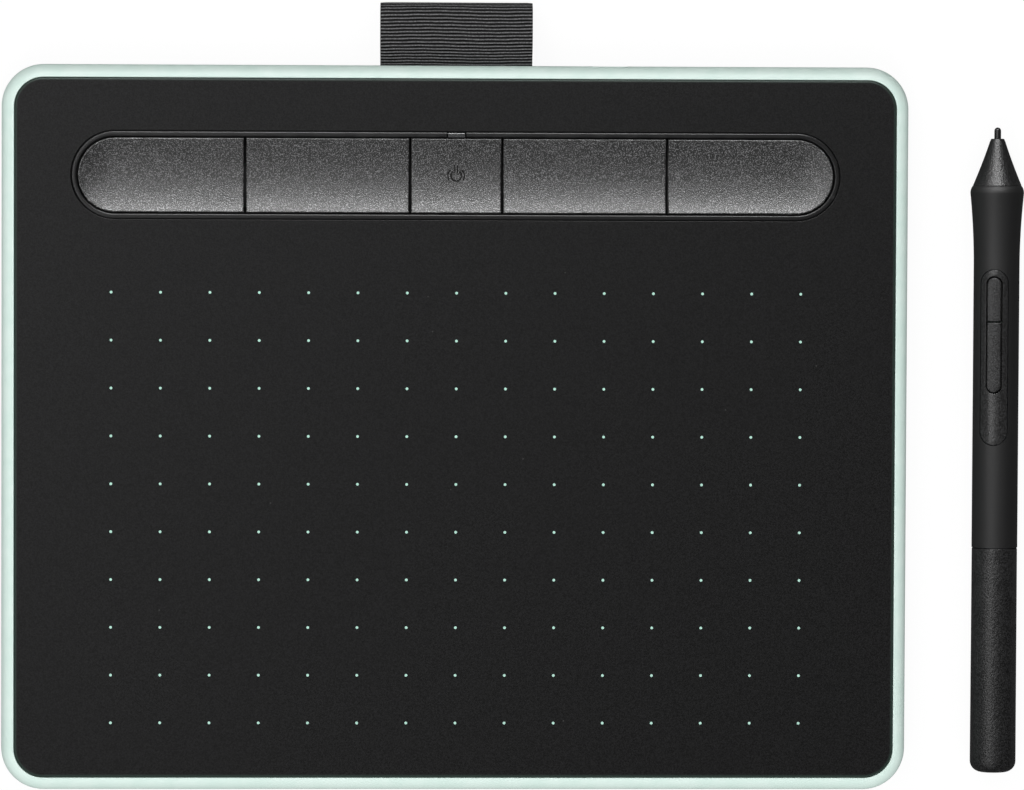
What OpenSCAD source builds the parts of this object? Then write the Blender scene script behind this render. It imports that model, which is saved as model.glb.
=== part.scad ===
// Pen drawing tablet with its pen lying beside it.
// Millimetres, +Z up, +Y to the rear. The origin is on the desk under the middle of the tablet.

/* [Tablet body] */
// Width of the tablet, left to right
tablet_w = 200; // [192:1:230]
// Depth of the tablet, front to rear
tablet_d = 160; // [156:1:190]
// Height of the coloured rim above the desk
rim_z = 8.6; // [8.5:0.1:10]
// Radius of the four corners, seen from above
corner_r = 9.3; // [8:0.1:12]
// Radius that rounds the side edge above and below
edge_r = 3.2; // [2.6:0.1:3.6]
// Width of the coloured rim that shows round the black top
rim_w = 2.8; // [2.4:0.1:3.2]
// Width of the housing wall below the ledge
wall_w = 4; // [3.6:0.1:5]
// Thickness of the housing floor
floor_t = 1.4; // [1.3:0.1:1.6]
// Thickness of the top frame
frame_t = 1.5; // [1.3:0.1:1.6]
// Thickness of the drawing sheet
sheet_t = 0.5; // [0.4:0.05:0.6]

/* [Feet, label and case screws] */
// How far the rubber feet stand below the floor
foot_proud = 0.8; // [0.5:0.1:1]
// Depth of the pocket that each foot is glued into
foot_seat = 0.4; // [0.3:0.1:0.6]
// Length of a foot
foot_len = 22; // [16:1:30]
// Width of a foot
foot_w = 7; // [5:0.5:9]
// Distance from a foot's middle to the side of the tablet
foot_inset_x = 24; // [20:1:34]
// Distance from a foot's middle to the front or rear of the tablet
foot_inset_y = 16; // [13:1:20]
// Width of the blank label under the tablet
label_w = 44; // [30:1:60]
// Depth of the blank label
label_d = 18; // [12:1:24]
// Thickness of the blank label
label_t = 0.2; // [0.1:0.05:0.3]
// Radius of a case screw's thread
case_screw_r = 1; // [0.8:0.1:1.2]
// Distance from a case screw to the outside of the tablet
case_screw_inset = 10; // [9:0.5:11]

/* [Key bar] */
// Gap between the row of keys and the side of the tablet
keys_side_gap = 16.8; // [14:0.2:24]
// Depth of the row of keys, front to rear
keys_d = 16.4; // [14:0.2:18]
// Distance from the middle of the row to the tablet's rear edge
keys_inset = 24.25; // [23.5:0.25:28]
// Distance from the tablet's middle to the seams of the power key
seam_near = 10.15; // [8:0.05:14]
// Length of an outer key, with its round end
far_key_len = 36.7; // [30:0.1:44]
// Gap between neighbouring keys
key_gap = 0.4; // [0.3:0.05:0.6]
// Depth of the trough that a pen rests in
trough_depth = 1.5; // [1:0.1:1.6]
// How far a key travels
key_travel = 0.4; // [0.2:0.05:0.4]
// Width of the flange that stops a key from lifting out
key_flange_w = 0.7; // [0.5:0.1:0.8]
// Thickness of that flange
key_flange_t = 0.6; // [0.5:0.1:0.7]
// Gap between the keys and the bezel round them
bezel_gap = 0.28; // [0.2:0.02:0.4]
// Width of the bezel
bezel_w = 1.15; // [1:0.05:1.6]
// How far the bezel stands above the drawing sheet
bezel_proud = 0.2; // [0.1:0.05:0.3]
// Width of the bezel's hidden flange
bezel_flange_w = 2; // [1.5:0.1:2.4]
// Thickness of the bezel's hidden flange
bezel_flange_t = 0.7; // [0.6:0.05:0.8]
// Width of the status light in the bezel
light_w = 3.8; // [2:0.1:6]
// Outside diameter of the power symbol
symbol_d = 3.8; // [3:0.1:6]
// Width of the power symbol's lines
symbol_line = 0.45; // [0.3:0.05:0.7]

/* [Electronics] */
// Gap between the sensor board and the case screws' bosses beside it
sensor_side_gap = 3.7; // [1:0.1:10]
// Gap between the sensor board and the front wall
sensor_front_gap = 4.45; // [1:0.05:10]
// Gap between the sensor board and the main board behind it
sensor_rear_gap = 9.3; // [6:0.1:14]
// Thickness of the sensor board
sensor_t = 1; // [0.8:0.1:1]
// Thickness of the shield plate
shield_t = 0.3; // [0.2:0.05:0.3]
// Distance from the shield plate's edge to the sensor board's
shield_inset = 3; // [2:0.5:5]
// Gap between the main board's ends and the side walls
main_side_gap = 21; // [12:0.5:30]
// Thickness of the main board
main_t = 1; // [0.8:0.1:1]
// Height of the bosses under the main board
boss_h = 0.7; // [0.5:0.1:0.7]
// Height of a key's dome switch
dome_h = 0.65; // [0.5:0.05:0.65]
// Radius of a key's dome switch
dome_r = 2.4; // [2:0.1:3]
// Width of the battery
battery_w = 50; // [40:1:56]
// Depth of the battery
battery_d = 34; // [28:1:44]
// Thickness of the battery
battery_t = 2.6; // [2:0.1:2.6]
// Gap between the battery and the left edge of the shield plate
battery_side_gap = 11; // [5:0.5:20]
// Distance from the tablet's middle to the data socket
usb_x = 34; // [30:1:50]

/* [Pen loop] */
// Width of the woven ribbon
ribbon_w = 33.5; // [24:0.5:40]
// Thickness of the woven ribbon
ribbon_t = 0.7; // [0.5:0.05:0.7]
// How far the loop reaches behind the tablet
loop_reach = 14; // [13:0.5:20]
// Height of the loop
loop_h = 6; // [5.8:0.1:7.5]
// Length of the loop's level stretch
loop_level = 5; // [4:0.5:7]

/* [Pen] */
// Length of the pen with its nib
pen_len = 143; // [138:1:160]
// Distance from the tablet's middle to the pen
pen_x = 119.8; // [116:0.2:140]
// Distance from the tablet's middle forward to the pen's tail
pen_tail_y = 76.1; // [60:0.1:90]
// Angle that the pen has rolled towards the tablet
pen_roll = 11.6; // [0:0.2:30]
// Radius of the barrel's straight part
barrel_r = 5.07; // [4.95:0.01:5.4]
// Radius of the flare behind the nose
flare_r = 5.93; // [5.7:0.01:6.4]
// Length of the flare
flare_len = 16.4; // [12:0.2:18]
// Radius where the barrel meets the nose cone
shoulder_r = 5.4; // [5.1:0.05:5.6]
// Length of the rounded shoulder in front of the flare
shoulder_len = 1.6; // [1.2:0.1:2.2]
// Length of the nose cone
cone_len = 10.4; // [10:0.2:13]
// Radius of the nose cone's front end
cone_tip_r = 1.5; // [1.3:0.05:1.8]
// How far the nose cone's side curves inward
cone_hollow = 0.13; // [0:0.01:0.2]
// Length of nib that shows
nib_out = 2.5; // [2:0.1:4]
// Radius of the nib
nib_r = 0.75; // [0.6:0.01:0.8]
// Length of the nib
nib_len = 24.5; // [24:0.5:27]
// How far the nib moves in when it is pressed
nib_travel = 0.5; // [0.2:0.05:0.6]
// Length of the tail cap
cap_len = 49.8; // [44:0.2:54]
// Radius of the tail cap at its end
cap_r = 5.075; // [4.95:0.005:5.3]
// Radius of the tail cap at its seam
cap_seam_r = 5.02; // [4.95:0.01:5.2]
// Radius that rounds the tail
tail_round = 2.45; // [1.5:0.05:3]

/* [Pen switches] */
// Length of the switch plate
plate_len = 38.9; // [36:0.1:42]
// Width of the switch plate
plate_w = 6.06; // [5.6:0.02:6.4]
// Distance from the flare's widest point to the switch plate
plate_back = 16.8; // [16:0.1:19]
// Distance from the switch plate's front to the side buttons' slot
slot_back = 1.5; // [1.2:0.1:3]
// Length of the side buttons' slot
slot_len = 25.9; // [24:0.1:28]
// Width of the side buttons' slot
slot_w = 3.56; // [3.2:0.02:3.8]
// Length of the front side button
front_button_len = 9.7; // [8:0.1:11]
// Gap round the side buttons
button_gap = 0.25; // [0.15:0.01:0.3]
// How far the side buttons stand above the barrel
button_proud = 0.3; // [0.2:0.05:0.6]
// How far a side button travels
button_travel = 0.35; // [0.2:0.05:0.35]

/* [Hidden] */
$fn = 64;

eps = 0.01;             // overlap that joins two pieces of one solid
past = 1;               // reach of cutting tools past a face
fit = 0.1;              // side clearance of parts that drop into a pocket
thread_fit = 0.05;      // radial clearance round a screw's thread
ink_black = "#2b2b2d";
mint = "#d8ebe5";
board_green = "#1f5a3c";

// Heights in the tablet, from the desk up
floor_z = foot_proud + floor_t;
sheet_z = rim_z - sheet_t;
frame_z = sheet_z - frame_t;
sensor_z = frame_z - sensor_t;
shield_z = sensor_z - shield_t;
main_z = floor_z + boss_h;
main_top = main_z + main_t;
dome_top = main_top + dome_h;
bezel_z = frame_z - bezel_flange_t;
key_z = bezel_z - key_flange_t;
plunger_gap = 0.05;     // left under a plunger when its key is fully down
plunger_r = 1.5;
pocket_w = tablet_w - 2 * rim_w;
pocket_d = tablet_d - 2 * rim_w;
pocket_r = corner_r - rim_w;
cavity_w = tablet_w - 2 * wall_w;
cavity_d = tablet_d - 2 * wall_w;
cavity_r = corner_r - wall_w;

// Case screws
case_head_r = 1.8 * case_screw_r;
case_head_t = 0.7;
case_head_deep = 0.1;
case_boss_wall = 1.3;
case_boss_r = case_screw_r + case_boss_wall;
case_screw_x = tablet_w / 2 - case_screw_inset;
case_screw_y = tablet_d / 2 - case_screw_inset;
case_thread_up = 0.4;   // reach of the thread into the top frame
case_screws_xy = [for (sx = [-1, 1], sy = [-1, 0, 1]) [sx * case_screw_x, sy * case_screw_y]];

// Feet and label
foot_x = tablet_w / 2 - foot_inset_x;
foot_y = tablet_d / 2 - foot_inset_y;
label_r = 1;

// Key bar
keys_y = tablet_d / 2 - keys_inset;
key_hl = tablet_w / 2 - keys_side_gap;
key_hd = keys_d / 2;
bezel_in = bezel_gap;
bezel_out = bezel_gap + bezel_w;
trough_r = (key_hd * key_hd + trough_depth * trough_depth) / (2 * trough_depth);
trough_axis_z = rim_z - trough_depth + trough_r;
key_end_x = key_hl - key_hd;
symbol_deep = 0.1;
seam_far = key_hl - far_key_len;
far_key_x = (key_hl + seam_far) / 2;
near_key_x = (seam_near + seam_far) / 2;
dome_xs = [-far_key_x, -near_key_x, 0, near_key_x, far_key_x];

// Main board and what is on it
main_w = cavity_w - 2 * main_side_gap;
main_front_gap = 1.8;
main_rear_gap = 0.5;
main_front = keys_y - key_hd - main_front_gap;
main_rear = cavity_d / 2 - main_rear_gap;
small_screw_r = 0.8;
small_head_r = 1.5;
small_head_t = 0.45;
small_boss_r = 2.4;
main_screw_in = 4;
main_screw_ys = [main_front + main_screw_in, main_rear - main_screw_in];
main_screws_xy = [for (sx = [-1, 1], y = main_screw_ys) [sx * (main_w / 2 - main_screw_in), y]];
screw_skin = 0.5;       // floor left under a small screw's end
screw_bottom = foot_proud + screw_skin;
chip_h = 0.9;
chip_set_back = 1.5;
chip_front = keys_y - key_hd + chip_set_back;
processor_w = 7;
charger_w = 5;
radio_w = 12;
radio_d = 9;
led_w = 1.6;
led_d = 1;
stem_w = light_w / 2;
stem_clear = 0.3;
led_y = keys_y + key_hd + bezel_gap + bezel_w / 2;
led_h = 0.6;
usb_w = 7.5;
usb_h = 2.45;
usb_len = 5.6;
usb_wall = 0.25;
usb_back = 1;           // thickness of the block that closes the socket
usb_set_in = 0.7;
usb_mouth_y = tablet_d / 2 - usb_set_in;
usb_clear = 0.2;
tongue_w = 4.2;
tongue_t = 0.6;
tongue_set_in = 0.8;
tongue_up = 0.55 * usb_h;

// Sensor, shield and battery
sensor_front = -cavity_d / 2 + sensor_front_gap;
sensor_rear = main_front - sensor_rear_gap;
sensor_y = (sensor_front + sensor_rear) / 2;
sensor_d = sensor_rear - sensor_front;
sensor_w = 2 * (case_screw_x - case_boss_r - sensor_side_gap);
sensor_r = 2;
shield_w = sensor_w - 2 * shield_inset;
shield_d = sensor_d - 2 * shield_inset;
shield_r = 1.5;
battery_x = -shield_w / 2 + battery_side_gap + battery_w / 2;
battery_r = 2.5;
rib_t = 1.2;
bay_gap = 0.5;
bay_rib_x = battery_w / 2 + bay_gap + rib_t / 2;
edge_rib_x = shield_w / 2 - 2 * rib_t;
rib_xs = [-edge_rib_x, battery_x - bay_rib_x, battery_x + bay_rib_x,
          (battery_x + bay_rib_x + edge_rib_x) / 2, edge_rib_x];
flex_w = 14;
flex_t = 0.15;
flex_x = near_key_x;
flex_bond = 2;
flex_run = 1;           // level stretch before and after the flex's slope
flex_into = 1;
connector_d = 2.5;
connector_h = 0.9;
connector_side = 1;
connector_set_in = 0.3;
connector_y = main_front + connector_set_in;
tape_t = 0.3;
tape_inset = 3;
tape_r = 1;
lead_r = 0.6;
lead_z = floor_z + tape_t + battery_t / 2;
lead_clear = 4;         // from the main board's end to the lead beside it
lead_x = main_w / 2 + lead_clear;
plug_w = 6;
plug_d = 4;
plug_h = 2;
plug_from_screw = 7;
plug_x = -main_w / 2 + main_screw_in + plug_from_screw;
plug_y = main_rear - plug_d / 2 - 0.5;
lead_turn_y = (sensor_rear + main_front) / 2;

// Pen loop
loop_z = foot_proud + (rim_z - foot_proud) / 2;
loop_end_y = tablet_d / 2 + loop_reach;
loop_out = loop_h / 2;
loop_in = loop_out - ribbon_t;
loop_far_y = loop_end_y - loop_out;
loop_near_y = loop_far_y - loop_level;
slot_clear = 0.1;
clamp_side = 4.25;      // clamp beyond the ribbon's edge
clamp_d = 4;
clamp_t = 0.7;
clamp_gap = 1;          // from the clamp to the rear wall
clamp_w = ribbon_w + 2 * clamp_side;
clamp_y = cavity_d / 2 - clamp_gap - clamp_d / 2;
clamp_screw_x = ribbon_w / 2 + clamp_side / 2;
anvil_margin = 1;
anvil_w = clamp_w + 2 * anvil_margin;
anvil_front = clamp_y - clamp_d / 2 - anvil_margin;
notch_gap = 1;

// Pen stations along its axis, from the tail
cone_z1 = pen_len - nib_out;
cone_z0 = cone_z1 - cone_len;
flare_z1 = cone_z0 - shoulder_len;
flare_z0 = flare_z1 - flare_len;
plate_z1 = flare_z1 - plate_back;
plate_z0 = plate_z1 - plate_len;
slot_z1 = plate_z1 - slot_back;
slot_z0 = slot_z1 - slot_len;
barrel_seam_gap = 0.15;
barrel_z0 = cap_len + barrel_seam_gap;
bore_r = 4.1;
slide_fit = 0.07;
chassis_r = bore_r - slide_fit;
chassis_bore_r = 3.05;
spigot_len = 30;
chassis_z0 = cap_len - spigot_len;
nose_spigot_len = 5;
nose_spigot_bore_r = 3.4;
end_gap = 0.2;          // left between parts that follow each other in the barrel
chassis_z1 = cone_z0 - nose_spigot_len - end_gap;
nib_clear = 0.1;
nib_bore_r = nib_r + nib_clear;
core_r = 1.6;
core_from_nib_end = 2.5;
core_from_tip = 5;
core_z0 = pen_len - nib_len + core_from_nib_end;
core_z1 = cone_z1 - core_from_tip;
coil_r = 3;
coil_len = 8;
coil_set_in = 0.5;
coil_z0 = core_z0 + coil_set_in;
holder_r = 1.9;
holder_len = 4;
holder_grip = 2.5;
holder_z1 = core_z0 - 0.3;
holder_z0 = holder_z1 - holder_len;
sensor_gap = nib_travel + 0.1;
cell_len = 4.4;
cell_z0 = holder_z0 - sensor_gap - cell_len;
spare_count = 3;
spare_ring_r = 2;
spare_end = chassis_z0 + nib_len;
spare_room = 1.5;       // hole beyond a spare nib's end
pcb_w = 5.5;
pcb_t = 1;
pcb_height = 0.6;       // from the pen's axis to the board
pcb_top = pcb_height + pcb_t;
pcb_z0 = spare_end + 2;
pcb_z1 = cell_z0 - end_gap;
pcb_slot_clear = 0.05;
pen_dome_h = 0.5;
pen_dome_r = 1.4;
deck_height = 3.7;      // from the pen's axis to the flat under the switch plate
button_flange_t = 0.6;
button_flange_w = 0.45;
button_plunger_r = 0.8;
button_plunger_gap = 0.1;
split_z = slot_z1 - front_button_len - button_gap;
cap_end_t = 2.4;        // solid end of the tail cap

// The pen rests on its flare and on its tail
rest_past_round = 1.5;   // the tail touches the desk this far past its rounding
cap_rest_z = tail_round + rest_past_round;
pen_pitch = atan((flare_r - cap_r) / (flare_z1 - cap_rest_z));
pen_tail_z = cap_r * cos(pen_pitch) - cap_rest_z * sin(pen_pitch);

// ---------- shared shapes ----------

module rounded_rect(w, d, r) {
    square([w - 2 * r, d], center = true);
    square([w, d - 2 * r], center = true);
    for (sx = [-1, 1], sy = [-1, 1])
        translate([sx * (w / 2 - r), sy * (d / 2 - r)]) circle(r);
}

module rounded_plate(w, d, r, z0, z1) {
    translate([0, 0, z0]) linear_extrude(z1 - z0) rounded_rect(w, d, r);
}

// Outline with round ends, half_len by half_d, along X
module stadium(half_len, half_d) {
    square([2 * (half_len - half_d), 2 * half_d], center = true);
    for (s = [-1, 1]) translate([s * (half_len - half_d), 0]) circle(half_d);
}

// The row of keys' outline, grown by a margin
module keys_outline(grow) {
    translate([0, keys_y]) stadium(key_hl + grow, key_hd + grow);
}

module block(x0, x1, y0, y1, z0, z1) {
    translate([x0, y0, z0]) cube([x1 - x0, y1 - y0, z1 - z0]);
}

module post(x, y, r, z0, z1) {
    translate([x, y, z0]) cylinder(r = r, h = z1 - z0);
}

// Pan head screw with its head's seat at seat_z; up is 1 for a thread that points up
module screw(x, y, seat_z, r, head_r, head_t, len, up) {
    translate([x, y, seat_z]) mirror([0, 0, up > 0 ? 0 : 1]) {
        cylinder(r = r, h = len);
        translate([0, 0, -head_t]) cylinder(r = head_r, h = head_t);
    }
}

// Low dome of radius r and height h that stands on z = 0
module dome(r, h) {
    ball = (r * r + h * h) / (2 * h);
    steps = 5;
    reach = asin(r / ball);
    rotate_extrude() polygon(concat(
        [[0, 0]],
        [for (i = [0:steps]) let (a = reach * (1 - i / steps))
            [ball * sin(a), h - ball + ball * cos(a)]]
    ));
}

// ---------- tablet casing ----------

// Half section of the slab's edge, rounded above and below
module edge_section() {
    mid_r = corner_r - edge_r;
    square_h = rim_z - foot_proud;
    translate([0, foot_proud]) square([mid_r, square_h]);
    translate([0, foot_proud + edge_r]) square([corner_r, square_h - 2 * edge_r]);
    for (z = [foot_proud + edge_r, rim_z - edge_r]) translate([mid_r, z]) circle(edge_r);
}

module right_half_section() {
    intersection() {
        edge_section();
        translate([0, foot_proud]) square([corner_r, rim_z - foot_proud]);
    }
}

module bullnose_slab() {
    cx = tablet_w / 2 - corner_r;
    cy = tablet_d / 2 - corner_r;
    for (k = [0:3]) {
        sx = (k == 0 || k == 3) ? 1 : -1;
        sy = k < 2 ? 1 : -1;
        translate([sx * cx, sy * cy, 0]) rotate([0, 0, 90 * k])
            rotate_extrude(angle = 90) right_half_section();
    }
    for (s = [0, 180]) rotate([0, 0, s]) {
        translate([cx, cy, 0]) rotate([90, 0, 0])
            linear_extrude(2 * cy) right_half_section();
        translate([-cx, cy, 0]) rotate([90, 0, 90])
            linear_extrude(2 * cx) right_half_section();
    }
    block(-cx, cx, -cy, cy, foot_proud, rim_z);
}

module housing_bosses() {
    for (x = rib_xs) block(x - rib_t / 2, x + rib_t / 2, sensor_y - shield_d / 2,
                           sensor_y + shield_d / 2, floor_z - eps, shield_z);
    for (p = main_screws_xy) post(p[0], p[1], small_boss_r, floor_z - eps, main_z);
    block(-anvil_w / 2, anvil_w / 2, anvil_front, cavity_d / 2 + eps,
          floor_z - eps, loop_z - ribbon_t);
}

module housing_cuts() {
    for (p = case_screws_xy) {
        post(p[0], p[1], case_screw_r + fit, foot_proud, floor_z + eps);
        post(p[0], p[1], case_head_r + fit, foot_proud - eps,
             foot_proud + case_head_t + case_head_deep);
    }
    for (p = main_screws_xy)
        post(p[0], p[1], small_screw_r + thread_fit, screw_bottom - fit, main_z + eps);
    for (s = [-1, 1]) post(s * clamp_screw_x, clamp_y, small_screw_r + thread_fit,
                           screw_bottom - fit, loop_z - ribbon_t + eps);
    for (sx = [-1, 1], sy = [-1, 1])
        translate([sx * foot_x, sy * foot_y, foot_proud - eps])
            linear_extrude(foot_seat + eps) stadium(foot_len / 2 + fit, foot_w / 2 + fit);
    rounded_plate(label_w + 2 * fit, label_d + 2 * fit, label_r + fit, foot_proud - eps,
                  foot_proud + label_t);
    block(usb_x - usb_w / 2 - usb_clear, usb_x + usb_w / 2 + usb_clear,
          cavity_d / 2 - eps, tablet_d / 2 + past, main_top - usb_clear,
          main_top + usb_h + usb_clear);
    block(-ribbon_w / 2 - slot_clear, ribbon_w / 2 + slot_clear,
          cavity_d / 2 - eps, tablet_d / 2 + past, loop_z - ribbon_t,
          loop_z + ribbon_t + slot_clear);
}

module bottom_housing() {
    color(mint) difference() {
        union() {
            difference() {
                bullnose_slab();
                rounded_plate(pocket_w, pocket_d, pocket_r, frame_z, rim_z + past);
                rounded_plate(cavity_w, cavity_d, cavity_r, floor_z, frame_z + eps);
            }
            housing_bosses();
        }
        housing_cuts();
    }
}

module top_frame() {
    color(ink_black) difference() {
        union() {
            rounded_plate(pocket_w - 2 * fit, pocket_d - 2 * fit, pocket_r - fit,
                          frame_z, sheet_z);
            for (p = case_screws_xy) post(p[0], p[1], case_boss_r, floor_z, frame_z + eps);
        }
        for (p = case_screws_xy) post(p[0], p[1], case_screw_r + thread_fit,
                                      floor_z - eps, frame_z + case_thread_up + fit);
        translate([0, 0, frame_z - eps]) linear_extrude(frame_t + 2 * eps)
            keys_outline(bezel_out + fit);
    }
}

module drawing_sheet() {
    color("#303032") translate([0, 0, sheet_z]) linear_extrude(sheet_t) difference() {
        rounded_rect(pocket_w - 2 * fit, pocket_d - 2 * fit, pocket_r - fit);
        keys_outline(bezel_out + fit);
    }
}

module case_screws() {
    seat_z = foot_proud + case_head_t + case_head_deep;
    color("#9a9c9e") for (p = case_screws_xy)
        screw(p[0], p[1], seat_z, case_screw_r, case_head_r, case_head_t,
              frame_z + case_thread_up - seat_z, 1);
}

module rating_label() {
    color("#c9cdcb") rounded_plate(label_w, label_d, label_r, foot_proud,
                                   foot_proud + label_t);
}

module foot(sx, sy) {
    color("#3a3b3c") translate([sx * foot_x, sy * foot_y, 0])
        linear_extrude(foot_proud + foot_seat) stadium(foot_len / 2, foot_w / 2);
}

module foot_front_left() foot(-1, -1);
module foot_front_right() foot(1, -1);
module foot_rear_left() foot(-1, 1);
module foot_rear_right() foot(1, 1);

// ---------- key bar ----------

// Section of the bezel outward from the keys' end radius
module bezel_section() {
    top_r = bezel_w / 3;
    top_z = rim_z + bezel_proud;
    x0 = key_hd + bezel_in;
    x1 = key_hd + bezel_out;
    translate([x0, bezel_z]) square([bezel_w, top_z - top_r - bezel_z]);
    translate([x0 + top_r, bezel_z]) square([bezel_w - 2 * top_r, top_z - bezel_z]);
    for (x = [x0 + top_r, x1 - top_r]) translate([x, top_z - top_r]) circle(top_r);
    translate([x0, bezel_z]) square([bezel_w + bezel_flange_w, bezel_flange_t]);
}

module key_bezel() {
    color("#38393b") difference() {
        translate([0, keys_y, 0]) for (a = [0, 180]) rotate([0, 0, a]) {
            translate([key_end_x, 0, 0]) rotate([0, 0, -90])
                rotate_extrude(angle = 180) bezel_section();
            translate([-key_end_x, 0, 0]) rotate([90, 0, 90])
                linear_extrude(2 * key_end_x) bezel_section();
        }
        light_prism(fit / 2, bezel_z - eps, rim_z + past);
    }
}

module light_prism(grow, z0, z1) {
    block(-light_w / 2 - grow, light_w / 2 + grow, keys_y + key_hd + bezel_in - eps * sign(grow),
          keys_y + key_hd + bezel_out + eps * sign(grow), z0, z1);
}

module light_guide() {
    color("#d9dcdd") {
        light_prism(0, bezel_z, rim_z + bezel_proud);
        block(-stem_w / 2, stem_w / 2, led_y - bezel_w / 2, led_y + bezel_w / 2,
              main_top + led_h + fit, bezel_z + eps);
    }
}

// Hollow that the pen lies in, along the whole row of keys
module trough() {
    translate([-key_end_x, keys_y, trough_axis_z]) rotate([0, 90, 0])
        cylinder(r = trough_r, h = 2 * key_end_x, $fn = 128);
}

module trough_end(s) {
    intersection() {
        translate([s * key_end_x, keys_y, trough_axis_z]) sphere(trough_r, $fn = 128);
        translate([s * (key_end_x + keys_d), keys_y, rim_z])
            cube([2 * keys_d, 2 * keys_d, 4 * trough_depth], center = true);
    }
}

// Solid key between two seams, with its flange, plunger and the dished top
module key(x0, x1, dome_x) {
    clip0 = x0 <= -key_hl ? x0 - key_flange_w : x0 + key_gap / 2;
    clip1 = x1 >= key_hl ? x1 + key_flange_w : x1 - key_gap / 2;
    difference() {
        intersection() {
            union() {
                translate([0, 0, key_z]) linear_extrude(rim_z - key_z) keys_outline(0);
                translate([0, 0, key_z]) linear_extrude(key_flange_t)
                    keys_outline(key_flange_w);
            }
            block(clip0, clip1, keys_y - keys_d, keys_y + keys_d, key_z - past, rim_z + past);
        }
        trough();
        if (x0 <= -key_hl) trough_end(-1);
        if (x1 >= key_hl) trough_end(1);
    }
    post(dome_x, keys_y, plunger_r, dome_top + key_travel + plunger_gap, key_z + eps);
}

module key_outer_left() color("#55575a") key(-key_hl, -seam_far, -far_key_x);
module key_inner_left() color("#55575a") key(-seam_far, -seam_near, -near_key_x);
module key_inner_right() color("#55575a") key(seam_near, seam_far, near_key_x);
module key_outer_right() color("#55575a") key(seam_far, key_hl, far_key_x);

module power_symbol() {
    r = symbol_d / 2;
    translate([0, keys_y, rim_z - trough_depth - symbol_deep]) {
        linear_extrude(trough_depth) difference() {
            circle(r);
            circle(r - symbol_line);
            translate([-1.5 * symbol_line, 0]) square([3 * symbol_line, r + past]);
        }
        translate([-symbol_line / 2, r / 3, 0]) cube([symbol_line, r * 0.9, trough_depth]);
    }
}

module power_key() {
    color("#55575a") difference() {
        key(-seam_near, seam_near, 0);
        power_symbol();
        block(-stem_w / 2 - stem_clear, stem_w / 2 + stem_clear, keys_y + key_hd - eps,
              keys_y + keys_d, key_z - past, bezel_z + past);
    }
}

// ---------- electronics ----------

module main_board() {
    notch_w = anvil_w + 2 * notch_gap;
    color(board_green) difference() {
        block(-main_w / 2, main_w / 2, main_front, main_rear, main_z, main_top);
        block(-notch_w / 2, notch_w / 2, anvil_front - notch_gap, main_rear + past,
              main_z - past, main_top + past);
        for (p = main_screws_xy)
            post(p[0], p[1], small_screw_r + fit, main_z - past, main_top + past);
    }
}

module board_screws() {
    color("#8d8f91") for (p = main_screws_xy)
        screw(p[0], p[1], main_top, small_screw_r, small_head_r, small_head_t,
              main_top - screw_bottom, -1);
}

module dome_switches() {
    color("#b9bcbf") for (x = dome_xs) translate([x, keys_y, main_top]) dome(dome_r, dome_h);
}

module board_chips() {
    sizes = [[radio_w, radio_d], [processor_w, processor_w], [charger_w, charger_w]];
    color("#1b1c1e") for (k = [0:len(sizes) - 1]) {
        x = (dome_xs[k] + dome_xs[k + 1]) / 2;
        block(x - sizes[k][0] / 2, x + sizes[k][0] / 2, chip_front, chip_front + sizes[k][1],
              main_top, main_top + chip_h);
    }
}

module status_led() {
    color("#f3f3ee") block(-led_w / 2, led_w / 2, led_y - led_d / 2, led_y + led_d / 2,
                           main_top, main_top + led_h);
}

// Flat side up, chamfered below, seen from the rear
module socket_outline(grow) {
    half = usb_w / 2 - grow;
    polygon([[-half, usb_h - grow], [half, usb_h - grow], [half, usb_h * 0.45],
             [half * 0.78, grow], [-half * 0.78, grow], [-half, usb_h * 0.45]]);
}

module usb_socket() {
    color("#c4c7ca") translate([usb_x, usb_mouth_y, main_top]) rotate([90, 0, 0])
        difference() {
            linear_extrude(usb_len) socket_outline(0);
            translate([0, 0, -eps]) linear_extrude(usb_len - usb_back)
                socket_outline(usb_wall);
        }
}

module usb_tongue() {
    color("#17181a") block(usb_x - tongue_w / 2, usb_x + tongue_w / 2,
                           usb_mouth_y - usb_len + usb_back + eps, usb_mouth_y - tongue_set_in,
                           main_top + tongue_up, main_top + tongue_up + tongue_t);
}

module sensor_board() {
    color(board_green) translate([0, sensor_y, 0])
        rounded_plate(sensor_w, sensor_d, sensor_r, sensor_z, frame_z);
}

module shield_plate() {
    color("#a9adb0") translate([0, sensor_y, 0])
        rounded_plate(shield_w, shield_d, shield_r, shield_z, sensor_z);
}

module sensor_flex() {
    y0 = sensor_rear - flex_bond;
    y1 = sensor_rear + flex_run;
    y2 = connector_y - flex_run;
    y3 = connector_y + flex_into;
    za = sensor_z - flex_t;
    zb = main_top + connector_h / 2;
    color("#b8772c") translate([flex_x - flex_w / 2, 0, 0]) rotate([90, 0, 90])
        linear_extrude(flex_w) polygon([
            [y0, za], [y1, za], [y2, zb], [y3, zb],
            [y3, zb + flex_t], [y2, zb + flex_t], [y1, za + flex_t], [y0, za + flex_t]
        ]);
}

module flex_connector() {
    zb = main_top + connector_h / 2;
    color("#e4e1d6") difference() {
        block(flex_x - flex_w / 2 - connector_side, flex_x + flex_w / 2 + connector_side,
              connector_y, connector_y + connector_d, main_top, main_top + connector_h);
        block(flex_x - flex_w / 2 - fit, flex_x + flex_w / 2 + fit, connector_y - past,
              connector_y + flex_into + fit, zb - eps, zb + flex_t + eps);
    }
}

module battery_tape() {
    color("#d8d4b0") translate([battery_x, sensor_y, 0])
        rounded_plate(battery_w - 2 * tape_inset, battery_d - 2 * tape_inset, tape_r,
                      floor_z, floor_z + tape_t);
}

module battery_cell() {
    z0 = floor_z + tape_t;
    color("#9ea4aa") translate([battery_x, sensor_y, 0])
        rounded_plate(battery_w, battery_d, battery_r, z0, z0 + battery_t);
}

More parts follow.
